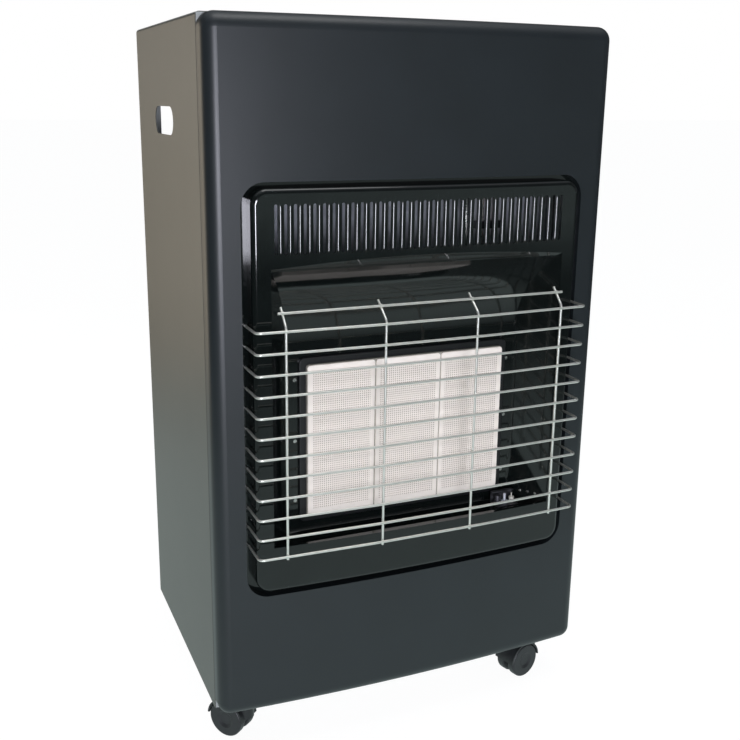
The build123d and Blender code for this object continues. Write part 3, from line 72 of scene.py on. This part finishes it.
# ---- sizes of what only the scene has, in metres and degrees ----
NUGGET_RADIUS = 0.0017
NUGGET_SIZES = (0.85, 1.1)        # smallest and largest share of the radius
NUGGET_DEPTH = 0.8
NUGGET_SEED = 7
HOLE_PITCH = 2.3 * MM             # real holes stand 1.35 mm apart, drawn coarser so that they show
HOLE_EDGE = (0.18, 0.36)          # share of the pitch at which a hole's edge starts and ends
POINTER_HALF_WIDTH = 0.0007
POINTER_START = 0.009
POINTER_DEPTH = 0.0009
PRINT_THICK = 0.00008
SPARK_RADIUS = 0.0026
SPARK_POINTS = 8
SPARK_INNER = 0.35
NUMBER_HEIGHT = 0.0042
CAPITAL_SHARE = 0.7               # a capital is about seven tenths of the font's size
TICK_HALF_LENGTH = 0.0016
TICK_HALF_WIDTH = 0.0003
TICK_REACH = 0.0236
NUMBER_REACH = 0.0288
SIGN_OFFSET = 0.016
DIAL_START = 180
DIAL_SWEEP = 240.0
DIAL = {0.0: "0", 0.3: "*", 0.6: "1", 0.8: "2", 1.0: "3"}   # share of the knob's turn, and its sign

# ---- light and camera ----
CAMERA_PLACE = (-0.42825, -0.84765 + DEPTH_SHIFT, 0.66629)
CAMERA_TURN = (-0.396859, 0.249990, 0.009289)               # turn, pitch and roll in radians
SENSOR_WIDTH = 36.0
PICTURE_WIDTH = 740
FOCAL_PIXELS = 968.99
IMAGE_CENTRE = (351.27, 346.90)                             # pixels from the left and the top
LAMPS = (   # name, place, point it looks at, size, watts, colour
    ("window_left", (-1.0, 1.05, 0.5), (-0.2, 0.1, 0.4), (0.9, 1.1), 5.5, "#fff0d8"),
    ("window_behind", (-0.42, 2.2, 0.5), (-0.2, 0.1, 0.4), (0.20, 1.2), 0.4, "#fff0d8"),
    ("front_key", (-0.70, -2.46, 0.45), (0, -0.15, 0.35), (0.45, 0.6), 39, "#f1f2ff"),
    ("top_soft", (0.2, -0.6, 3.0), (0, 0, 0.3), (1.6, 1.2), 17, "#ffffff"),
)
ROOM_GLOW = (0.10, 0.95)          # what reflections see of the room: darkest and brightest
HORIZON = dict(i1=0.02, i2=0.15, i3=0.12, i4=0.0)           # from height, to height, glow there, glow above
CEILING = dict(i1=0.55, i2=0.95, i3=0.0, i4=0.8)
SOFT_LIGHT = 0.40
FLOOR_SIZE = 60
FLOOR_GLOW = 1.10
FLOOR_SHARE = 0.86                # how much of the floor the camera sees as glow; the rest keeps the shadow
NEAR_PAPER = dict(i1=0.8, i2=1.7, i3=0.8, i4=0.07)          # from reach, to reach, glow there, glow beyond
FAR_PAPER = dict(i1=2.6, i2=5.0, i3=0.0, i4=0.55)
AHEAD_SECTOR = dict(i1=-0.4, i2=-0.7)                       # share of the reach that lies ahead of the heater


def linear(hex_colour):
    """sRGB hex to the linear colour that the shaders take."""
    channels = [int(hex_colour[i:i + 2], 16) / 255 for i in (1, 3, 5)]
    return [c / 12.92 if c <= 0.04045 else ((c + 0.055) / 1.055) ** 2.4 for c in channels] + [1.0]


def node(tree, kind, settings=None, **inputs):
    """Add a node; settings are its own properties, inputs are values or sockets by name or number."""
    new = tree.nodes.new(kind)
    for name, value in (settings or {}).items():
        setattr(new, name, value)
    for name, value in inputs.items():
        numbered = name[0] == "i" and name[1:].isdigit()
        socket = new.inputs[int(name[1:]) if numbered else name.replace("_", " ")]
        if isinstance(value, bpy.types.NodeSocket):
            tree.links.new(value, socket)
        else:
            socket.default_value = value
    return new


def math_node(tree, operation, first, second=0.0):
    """Result of one sum in a shader or geometry tree."""
    return node(tree, "ShaderNodeMath", {"operation": operation}, i0=first, i1=second).outputs[0]


def material(name):
    """New material, its tree, its Principled shader and the Object coordinates."""
    made = bpy.data.materials.new(name)
    made.use_nodes = True
    tree = made.node_tree
    shader = next(n for n in tree.nodes if n.type == "BSDF_PRINCIPLED")
    place = node(tree, "ShaderNodeTexCoord").outputs["Object"]
    return made, tree, shader, place


def noise(tree, place, size_mm, detail=2.0):
    """Noise with features of about the given size."""
    made = node(tree, "ShaderNodeTexNoise", Vector=place, Scale=1 / (size_mm * MM), Detail=detail)
    return made.outputs["Fac"]


def bump(tree, shader, height, depth_mm, strength=1.0):
    """Put a height on the shader's normal."""
    made = node(tree, "ShaderNodeBump", Height=height, Distance=depth_mm * MM, Strength=strength)
    tree.links.new(made.outputs["Normal"], shader.inputs["Normal"])


def spread(tree, value, low, high):
    """Map 0..1 to a range."""
    return node(tree, "ShaderNodeMapRange", i0=value, i3=low, i4=high).outputs[0]


def blend_colours(tree, factor, first, second):
    """Mix of two colours, given as hex or as sockets."""
    first = linear(first) if isinstance(first, str) else first
    second = linear(second) if isinstance(second, str) else second
    mix = node(tree, "ShaderNodeMix", {"data_type": "RGBA"}, i0=factor, i6=first, i7=second)
    return mix.outputs[2]


# ---- finishes ----

def powder_coat(name, colour, cloudy, back_coat, inner_mask, smooth, rough):
    """Baked powder coat on sheet steel: fine orange peel, satin sheen, and a thin grey coat on the inside."""
    made, tree, shader, place = material(name)
    grain = noise(tree, place, 1.1, 3.0)
    face = blend_colours(tree, noise(tree, place, 60.0), colour, cloudy)
    tree.links.new(blend_colours(tree, inner_mask(tree, place), face, back_coat), shader.inputs["Base Color"])
    tree.links.new(spread(tree, grain, smooth, rough), shader.inputs["Roughness"])
    shader.inputs["Specular IOR Level"].default_value = 0.5
    bump(tree, shader, grain, 0.035, 0.8)
    return made


def inside_wrap(tree, place):
    """1 on the faces inside the sides and the top, behind the seam and before the back edge."""
    parts = node(tree, "ShaderNodeSeparateXYZ", Vector=place)
    across = math_node(tree, "LESS_THAN", math_node(tree, "ABSOLUTE", parts.outputs["X"]), WRAP_INNER_X)
    under = math_node(tree, "LESS_THAN", parts.outputs["Z"], WRAP_INNER_TOP)
    ahead = math_node(tree, "LESS_THAN", parts.outputs["Y"], WRAP_INNER_BACK)
    return math_node(tree, "MULTIPLY", math_node(tree, "MULTIPLY", across, under), ahead)


def back_of_sheet(tree, place):
    """1 on faces that look to the back."""
    normal = node(tree, "ShaderNodeNewGeometry").outputs["Normal"]
    parts = node(tree, "ShaderNodeSeparateXYZ", Vector=normal)
    return math_node(tree, "GREATER_THAN", parts.outputs["Y"], 0.3)


def front_of_sheet(tree, place):
    """1 on faces that look to the front."""
    normal = node(tree, "ShaderNodeNewGeometry").outputs["Normal"]
    parts = node(tree, "ShaderNodeSeparateXYZ", Vector=normal)
    return math_node(tree, "LESS_THAN", parts.outputs["Y"], -0.3)


def vitreous_enamel():
    """Black vitreous enamel: deep gloss with the slow waves of fired glass."""
    made, tree, shader, place = material("vitreous_enamel_black")
    waves = noise(tree, place, 30.0, 1.0)
    fine = noise(tree, place, 2.4, 2.0)
    tree.links.new(blend_colours(tree, waves, "#070a0a", "#0f1413"), shader.inputs["Base Color"])
    tree.links.new(spread(tree, fine, 0.05, 0.10), shader.inputs["Roughness"])
    shader.inputs["IOR"].default_value = 1.52
    bump(tree, shader, waves, 0.4, 0.3)
    return made


def stove_paint():
    """Heat-resistant black paint on the plaques' frame: dull, slightly rough."""
    made, tree, shader, place = material("stove_paint_black")
    grain = noise(tree, place, 1.5, 3.0)
    tree.links.new(blend_colours(tree, grain, "#0c0d0d", "#151719"), shader.inputs["Base Color"])
    tree.links.new(spread(tree, grain, 0.3, 0.5), shader.inputs["Roughness"])
    bump(tree, shader, grain, 0.05, 0.6)
    return made


def cordierite():
    """Pressed cordierite plaque: off-white, matte, pierced by rows of fine holes inside a plain border, with
    painted shade in the holes.
    """
    made, tree, shader, place = material("cordierite_plaque")
    parts = node(tree, "ShaderNodeSeparateXYZ", Vector=place)
    x, z = parts.outputs["X"], parts.outputs["Z"]
    u = math_node(tree, "SUBTRACT", math_node(tree, "FRACT", math_node(tree, "DIVIDE", x, HOLE_PITCH)), 0.5)
    v = math_node(tree, "SUBTRACT", math_node(tree, "FRACT", math_node(tree, "DIVIDE", z, HOLE_PITCH)), 0.5)
    reach = node(tree, "ShaderNodeVectorMath", {"operation": "LENGTH"},
                 i0=node(tree, "ShaderNodeCombineXYZ", X=u, Y=v).outputs[0]).outputs["Value"]
    hole = node(tree, "ShaderNodeMapRange", i0=reach, i1=HOLE_EDGE[0], i2=HOLE_EDGE[1], i3=1.0, i4=0.0)
    own_x = math_node(tree, "SUBTRACT", x, math_node(
        tree, "MULTIPLY", math_node(tree, "ROUND", math_node(tree, "DIVIDE", x, PLAQUE_PITCH)), PLAQUE_PITCH))
    field_x = math_node(tree, "LESS_THAN", math_node(tree, "ABSOLUTE", own_x), FIELD_HALF_WIDTH)
    own_z = math_node(tree, "SUBTRACT", z, PLAQUE_MID_Z)
    field_z = math_node(tree, "LESS_THAN", math_node(tree, "ABSOLUTE", own_z), FIELD_HALF_HEIGHT)
    hole = math_node(tree, "MULTIPLY", hole.outputs[0], math_node(tree, "MULTIPLY", field_x, field_z))
    body = blend_colours(tree, noise(tree, place, 9.0, 3.0), "#f6efe4", "#efe6da")
    # The holes are painted a darker tan as painted shade inside them; the bump below also presses them in.
    tree.links.new(blend_colours(tree, hole, body, "#b0a494"), shader.inputs["Base Color"])
    shader.inputs["Roughness"].default_value = 0.85
    shader.inputs["Specular IOR Level"].default_value = 0.25
    grain = math_node(tree, "MULTIPLY", noise(tree, place, 0.9, 3.0), 0.15)
    height = math_node(tree, "SUBTRACT", grain, hole)
    bump(tree, shader, height, 0.5, 0.6)
    return made


def fibre_strip():
    """Pressed ceramic fibre: grey-white felt."""
    made, tree, shader, place = material("ceramic_fibre")
    felt = noise(tree, place, 0.8, 4.0)
    tree.links.new(blend_colours(tree, felt, "#8f8b80", "#b3afa3"), shader.inputs["Base Color"])
    shader.inputs["Roughness"].default_value = 0.95
    bump(tree, shader, felt, 0.2, 0.8)
    return made


def plated_wire():
    """Bright chrome plate on drawn steel wire, with faint draw lines."""
    made, tree, shader, place = material("chrome_plated_wire")
    draw = noise(tree, place, 2.0, 2.0)
    shader.inputs["Base Color"].default_value = linear("#ecece4")
    shader.inputs["Metallic"].default_value = 0.85
    tree.links.new(spread(tree, draw, 0.26, 0.38), shader.inputs["Roughness"])
    bump(tree, shader, draw, 0.02, 0.5)
    return made


def bare_metal(name, light, dark, rough_low, rough_high, grain_mm, metallic=1.0):
    """Bare or plated metal with a patchy grain of the given size."""
    made, tree, shader, place = material(name)
    patches = node(tree, "ShaderNodeTexVoronoi", Vector=place, Scale=1 / (grain_mm * MM))
    tone = node(tree, "ShaderNodeSeparateColor", i0=patches.outputs["Color"]).outputs[0]
    tree.links.new(blend_colours(tree, tone, dark, light), shader.inputs["Base Color"])
    shader.inputs["Metallic"].default_value = metallic
    tree.links.new(spread(tree, tone, rough_low, rough_high), shader.inputs["Roughness"])
    bump(tree, shader, noise(tree, place, grain_mm / 3, 3.0), 0.03, 0.5)
    return made


def moulded_plastic(name, colour, worn, rough=0.45, grain_mm=0.9):
    """Injection-moulded plastic with a spark-eroded texture."""
    made, tree, shader, place = material(name)
    texture = noise(tree, place, grain_mm, 3.0)
    handled = spread(tree, noise(tree, place, 14.0, 2.0), 0.0, 0.5)
    tree.links.new(blend_colours(tree, handled, colour, worn), shader.inputs["Base Color"])
    tree.links.new(spread(tree, texture, rough - 0.08, rough + 0.1), shader.inputs["Roughness"])
    bump(tree, shader, texture, 0.06, 0.6)
    return made


def knob_plastic():
    """Moulded black plastic of the knob, with a white pointer painted on the grip's upper edge."""
    made = moulded_plastic("moulded_plastic_knob", "#1c1d1f", "#303133", 0.34, 1.4)
    tree = made.node_tree
    shader = next(n for n in tree.nodes if n.type == "BSDF_PRINCIPLED")
    place = next(n for n in tree.nodes if n.type == "TEX_COORD").outputs["Object"]
    parts = node(tree, "ShaderNodeSeparateXYZ", Vector=place)
    off_axis = math_node(tree, "ABSOLUTE", math_node(tree, "SUBTRACT", parts.outputs["Y"], TRAY_Y))
    narrow = math_node(tree, "LESS_THAN", off_axis, POINTER_HALF_WIDTH)
    outer = math_node(tree, "LESS_THAN", parts.outputs["X"], KNOB_X - POINTER_START)
    upper = math_node(tree, "GREATER_THAN", parts.outputs["Z"], KNOB_TOP_Z - POINTER_DEPTH)
    mask = math_node(tree, "MULTIPLY", math_node(tree, "MULTIPLY", narrow, outer), upper)
    plain = shader.inputs["Base Color"].links[0].from_socket
    tree.links.new(blend_colours(tree, mask, plain, "#e8e8e2"), shader.inputs["Base Color"])
    return made


FRONT = powder_coat("powder_coat_front", "#1a1f21", "#1f2528", "#8d9290", back_of_sheet, 0.34, 0.44)
SIDES = powder_coat("powder_coat_sides", "#4a4b46", "#51524c", "#9b9f9e", inside_wrap, 0.34, 0.48)
COVER = powder_coat("powder_coat_cover", "#2a3033", "#31373a", "#8d9290", front_of_sheet, 0.30, 0.42)
GALVANISED = bare_metal("galvanised_sheet", "#d3d6de", "#bfc3cc", 0.34, 0.50, 9.0, 0.25)
ZINC = bare_metal("zinc_plated_steel", "#c9c9c4", "#a9aaa8", 0.22, 0.36, 2.5)
BRASS = bare_metal("turned_brass", "#c9a75c", "#b08d45", 0.20, 0.34, 2.0)
ALLOY = bare_metal("die_cast_alloy", "#b7b8b8", "#999a9b", 0.34, 0.5, 1.6)
ALUMINISED = bare_metal("aluminised_sheet", "#b9b9b4", "#8f8f8b", 0.35, 0.55, 5.0, 0.9)
DRAWN_TUBE = bare_metal("drawn_aluminium_tube", "#cfcfcb", "#b4b4b0", 0.25, 0.38, 3.0)
COPPER = bare_metal("bare_copper", "#c07a4e", "#9c5c38", 0.28, 0.42, 3.0)
FINISH = {
    "front_paint": FRONT,
    "side_paint": SIDES,
    "cover_paint": COVER,
    "enamel": vitreous_enamel(),
    "frame_paint": stove_paint(),
    "ceramic": cordierite(),
    "fibre": fibre_strip(),
    "chrome_wire": plated_wire(),
    "aluminised": ALUMINISED,
    "manifold_paint": ZINC,
    "zinc_steel": GALVANISED,
    "screw_steel": ZINC,
    "axle_steel": ZINC,
    "brass": BRASS,
    "cast_alloy": ALLOY,
    "tube_metal": DRAWN_TUBE,
    "copper_lead": COPPER,
    "white_ceramic": moulded_plastic("glazed_insulator", "#e4e1d8", "#d2cdbf", 0.2, 3.0),
    "spark_insulation": moulded_plastic("silicone_insulation", "#c9572c", "#a8431f", 0.55, 1.2),
    "black_plastic": moulded_plastic("moulded_plastic_black", "#1b1c1e", "#2b2c2e", 0.42),
    "tray_plastic": moulded_plastic("moulded_plastic_tray", "#202224", "#2e3032", 0.5),
    "knob_plastic": knob_plastic(),
    "caster_plastic": moulded_plastic("caster_nylon_hood", "#17181a", "#2a2b2c", 0.38, 1.2),
    "wheel_plastic": moulded_plastic("caster_nylon_wheel", "#1d1e20", "#333436", 0.44, 1.2),
}

slot_of = {part["node"]: part["material_slot"] for part in frame["record"]["subparts"]}
# The pilot bracket and pilot burner are drawn in a darker grey steel than the record's galvanised finish.
DARKENED_STEEL = bare_metal("darkened_pilot_steel", "#77777c", "#4c4c50", 0.30, 0.50, 4.0, 0.9)
for name, piece in frame["nodes"].items():
    finish = DARKENED_STEEL if name in ("pilot_bracket", "pilot_burner") else FINISH[slot_of[name]]
    for holder in piece.material_slots:
        holder.material = finish
    if not piece.material_slots:
        piece.data.materials.append(finish)


# ---- weld nuggets on the guard ----

def bar_front_y(x):
    """Depth of a long bar's axis at x."""
    knee = BAR_HALF / 3
    return BAR_Y - BAR_BOW * min(1.0, (BAR_HALF - abs(x)) / (BAR_HALF - knee))


def mesh_object(name, vertices, faces=()):
    """Object at the origin with a mesh in the row frame."""
    mesh = bpy.data.meshes.new(name)
    mesh.from_pydata(vertices, [], faces)
    made = bpy.data.objects.new(name, mesh)
    bpy.context.collection.objects.link(made)
    return made


def baked(made):
    """Swap the object's mesh for what its modifiers give, and drop them."""
    evaluated = made.evaluated_get(bpy.context.evaluated_depsgraph_get())
    mesh = bpy.data.meshes.new_from_object(evaluated)
    made.modifiers.clear()
    made.data = mesh


def nugget_tree():
    """Geometry Nodes: a flattened bead on every point, a little larger or smaller by a fixed seed."""
    tree = bpy.data.node_groups.new("weld_beads", "GeometryNodeTree")
    face = tree.interface
    face.new_socket("Geometry", in_out="INPUT", socket_type="NodeSocketGeometry")
    radius = face.new_socket("Bead radius", in_out="INPUT", socket_type="NodeSocketFloat")
    radius.default_value = NUGGET_RADIUS
    seed = face.new_socket("Seed", in_out="INPUT", socket_type="NodeSocketInt")
    seed.default_value = NUGGET_SEED
    face.new_socket("Geometry", in_out="OUTPUT", socket_type="NodeSocketGeometry")
    given = node(tree, "NodeGroupInput")
    bead = node(tree, "GeometryNodeMeshIcoSphere", Radius=given.outputs["Bead radius"], Subdivisions=3)
    smallest, largest = NUGGET_SIZES
    size = node(tree, "FunctionNodeRandomValue", {"data_type": "FLOAT"}, i2=smallest, i3=largest,
                Seed=given.outputs["Seed"])
    scale = node(tree, "ShaderNodeCombineXYZ", X=size.outputs[1], Y=NUGGET_DEPTH, Z=size.outputs[1])
    beads = node(tree, "GeometryNodeInstanceOnPoints", Points=given.outputs["Geometry"],
                 Instance=bead.outputs["Mesh"], Scale=scale.outputs[0])
    solid = node(tree, "GeometryNodeRealizeInstances", Geometry=beads.outputs[0])
    done = node(tree, "GeometryNodeSetMaterial", Geometry=solid.outputs[0], Material=FINISH["chrome_wire"])
    node(tree, "NodeGroupOutput", Geometry=done.outputs[0])
    return tree


def weld_nuggets():
    """Beads of the spot welds between the bars and the uprights, one mesh."""
    points = [(x, bar_front_y(x) + WIRE_RADIUS, BAR_LOW_Z + row * BAR_PITCH)
              for row in range(BAR_COUNT) for x in POST_X]
    points += [(x, SHORT_BAR_Y + WIRE_RADIUS, SHORT_BAR_Z) for x in POST_X]
    beads = mesh_object("weld_nuggets", points)
    beads.modifiers.new("beads", "NODES").node_group = nugget_tree()
    baked(beads)
    for polygon in beads.data.polygons:
        polygon.use_smooth = True
    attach(beads, "cabinet")


# ---- markings on the control tray ----

def flat_text(words, height):
    """Vertices and faces of thin raised text about its own middle."""
    curve = bpy.data.curves.new("words", "FONT")
    curve.body = words
    curve.size = height / CAPITAL_SHARE
    curve.align_x = "CENTER"
    curve.align_y = "CENTER"
    curve.extrude = PRINT_THICK / 2
    holder = bpy.data.objects.new("words", curve)
    bpy.context.collection.objects.link(holder)
    evaluated = holder.evaluated_get(bpy.context.evaluated_depsgraph_get())
    mesh = bpy.data.meshes.new_from_object(evaluated)
    corners = [tuple(v.co) for v in mesh.vertices]
    faces = [tuple(p.vertices) for p in mesh.polygons]
    bpy.data.objects.remove(holder)
    return corners, faces


def flat_plate(outline):
    """Vertices and faces of a thin plate with the given outline, which runs anticlockwise."""
    count = len(outline)
    corners = [(x, y, z) for z in (-PRINT_THICK / 2, PRINT_THICK / 2) for x, y in outline]
    faces = [tuple(reversed(range(count))), tuple(range(count, 2 * count))]
    faces += [(i, (i + 1) % count, count + (i + 1) % count, count + i) for i in range(count)]
    return corners, faces


def printed_marks():
    """White print on the tray's floor: ticks and numbers round the knob, and a spark beside the button."""
    tick = [(-TICK_HALF_LENGTH, -TICK_HALF_WIDTH), (TICK_HALF_LENGTH, -TICK_HALF_WIDTH),
            (TICK_HALF_LENGTH, TICK_HALF_WIDTH), (-TICK_HALF_LENGTH, TICK_HALF_WIDTH)]
    spark = []
    for ray in range(2 * SPARK_POINTS):
        reach = SPARK_RADIUS if ray % 2 == 0 else SPARK_RADIUS * SPARK_INNER
        angle = ray * math.pi / SPARK_POINTS
        spark.append((reach * math.cos(angle), reach * math.sin(angle)))
    marks = []
    for share, words in DIAL.items():
        angle = math.radians(DIAL_START - DIAL_SWEEP * share)
        middle = Vector((KNOB_X, TRAY_Y, 0))
        out = Vector((math.cos(angle), math.sin(angle), 0))
        marks.append((flat_plate(tick), middle + out * TICK_REACH, angle))
        shape = flat_plate(spark) if words == "*" else flat_text(words, NUMBER_HEIGHT)
        marks.append((shape, middle + out * NUMBER_REACH, 0.0))
    marks.append((flat_plate(spark), Vector((BUTTON_X - SIGN_OFFSET, TRAY_Y, 0)), 0.0))
    vertices, faces = [], []
    lift = Vector((0, 0, TRAY_FLOOR_Z + PRINT_THICK))
    for (corners, sides), place, angle in marks:
        turn = Matrix.Translation(place + lift) @ Matrix.Rotation(angle, 4, "Z")
        start = len(vertices)
        vertices += [tuple(turn @ Vector(corner)) for corner in corners]
        faces += [tuple(start + index for index in side) for side in sides]
    marks = mesh_object("tray_print", vertices, faces)
    marks.data.materials.append(moulded_plastic("white_pad_print", "#e8e8e2", "#d2d3cd", 0.4, 0.6))
    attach(marks, "cabinet")


weld_nuggets()
printed_marks()


# ---- light, floor and camera ----

def surroundings():
    """White to the camera; reflections see a dim room with a faint horizon and a pale ceiling."""
    world = bpy.data.worlds.new("white_studio")
    bpy.context.scene.world = world
    world.use_nodes = True
    tree = world.node_tree
    tree.nodes.clear()
    path = node(tree, "ShaderNodeLightPath")
    seen = math_node(tree, "MAXIMUM", path.outputs["Is Camera Ray"], path.outputs["Is Transmission Ray"])
    direction = node(tree, "ShaderNodeTexCoord").outputs["Generated"]
    height = node(tree, "ShaderNodeSeparateXYZ", Vector=direction).outputs["Z"]
    horizon = node(tree, "ShaderNodeMapRange", i0=height, **HORIZON).outputs[0]
    ceiling = node(tree, "ShaderNodeMapRange", i0=height, **CEILING).outputs[0]
    glow = spread(tree, math_node(tree, "MAXIMUM", horizon, ceiling), *ROOM_GLOW)
    room = node(tree, "ShaderNodeBackground", Color=linear("#eef3fa"), Strength=glow)
    soft = node(tree, "ShaderNodeBackground", Color=linear("#e3e9f0"), Strength=SOFT_LIGHT)
    white = node(tree, "ShaderNodeBackground", Color=(1, 1, 1, 1), Strength=1.0)
    mirrored = path.outputs["Is Glossy Ray"]
    lit = node(tree, "ShaderNodeMixShader", i0=mirrored, i1=soft.outputs[0], i2=room.outputs[0])
    mix = node(tree, "ShaderNodeMixShader", i0=seen, i1=lit.outputs[0], i2=white.outputs[0])
    node(tree, "ShaderNodeOutputWorld", Surface=mix.outputs[0])


def pale_floor():
    """Pale floor that fades into the white and keeps a soft shadow; reflections see it as lit paper."""
    bpy.ops.mesh.primitive_plane_add(size=FLOOR_SIZE, location=(0, 0, 0))
    floor = bpy.context.object
    floor.name = "floor"
    made = bpy.data.materials.new("pale_floor")
    made.use_nodes = True
    tree = made.node_tree
    tree.nodes.clear()
    path = node(tree, "ShaderNodeLightPath")
    matte = node(tree, "ShaderNodeBsdfDiffuse", Color=linear("#f2f2f2"))
    glow = node(tree, "ShaderNodeEmission", Color=(1, 1, 1, 1), Strength=FLOOR_GLOW)
    share = math_node(tree, "MULTIPLY", path.outputs["Is Camera Ray"], FLOOR_SHARE)
    bright = node(tree, "ShaderNodeMixShader", i0=share, i1=matte.outputs[0], i2=glow.outputs[0])
    spot = node(tree, "ShaderNodeTexCoord").outputs["Object"]
    reach = node(tree, "ShaderNodeVectorMath", {"operation": "LENGTH"}, i0=spot).outputs["Value"]
    near = node(tree, "ShaderNodeMapRange", i0=reach, **NEAR_PAPER).outputs[0]
    depth = node(tree, "ShaderNodeSeparateXYZ", Vector=spot).outputs["Y"]
    depth = math_node(tree, "DIVIDE", depth, reach)
    ahead = node(tree, "ShaderNodeMapRange", i0=depth, **AHEAD_SECTOR).outputs[0]
    far = node(tree, "ShaderNodeMapRange", i0=reach, **FAR_PAPER).outputs[0]
    paper = math_node(tree, "MAXIMUM", near, math_node(tree, "MULTIPLY", far, ahead))
    mirror = node(tree, "ShaderNodeEmission", Color=linear("#dceeec"), Strength=paper).outputs[0]
    mix = node(tree, "ShaderNodeMixShader", i0=path.outputs["Is Glossy Ray"], i1=bright.outputs[0], i2=mirror)
    node(tree, "ShaderNodeOutputMaterial", Surface=mix.outputs[0])
    floor.data.materials.append(made)


def lamp(name, place, target, size, watts, colour):
    """Soft rectangular lamp that looks at a point."""
    data = bpy.data.lights.new(name, "AREA")
    data.shape = "RECTANGLE"
    data.size, data.size_y = size
    data.energy = watts
    data.color = linear(colour)[:3]
    made = bpy.data.objects.new(name, data)
    bpy.context.collection.objects.link(made)
    made.location = place
    made.rotation_euler = (Vector(target) - Vector(place)).to_track_quat("-Z", "Y").to_euler()


def camera():
    """Camera fitted to the photograph: place, turn, pitch and roll, with its true image centre as a shift."""
    turn, pitch, roll = CAMERA_TURN
    ahead = Vector((-math.sin(turn) * math.cos(pitch), math.cos(turn) * math.cos(pitch), -math.sin(pitch)))
    right = ahead.cross(Vector((0, 0, 1))).normalized()
    up = right.cross(ahead)
    turned_right = right * math.cos(roll) + up * math.sin(roll)
    turned_up = up * math.cos(roll) - right * math.sin(roll)
    data = bpy.data.cameras.new("camera")
    data.sensor_fit = "HORIZONTAL"
    data.sensor_width = SENSOR_WIDTH
    data.lens = FOCAL_PIXELS / PICTURE_WIDTH * SENSOR_WIDTH
    data.shift_x = (PICTURE_WIDTH / 2 - IMAGE_CENTRE[0]) / PICTURE_WIDTH
    data.shift_y = (IMAGE_CENTRE[1] - PICTURE_WIDTH / 2) / PICTURE_WIDTH
    made = bpy.data.objects.new("camera", data)
    bpy.context.collection.objects.link(made)
    axes = Matrix((turned_right, turned_up, -ahead)).transposed().to_4x4()
    axes.translation = Vector(CAMERA_PLACE)
    made.matrix_world = axes
    bpy.context.scene.camera = made


surroundings()
pale_floor()
for each in LAMPS:
    lamp(*each)
camera()
bpy.context.scene.view_settings.view_transform = "Standard"
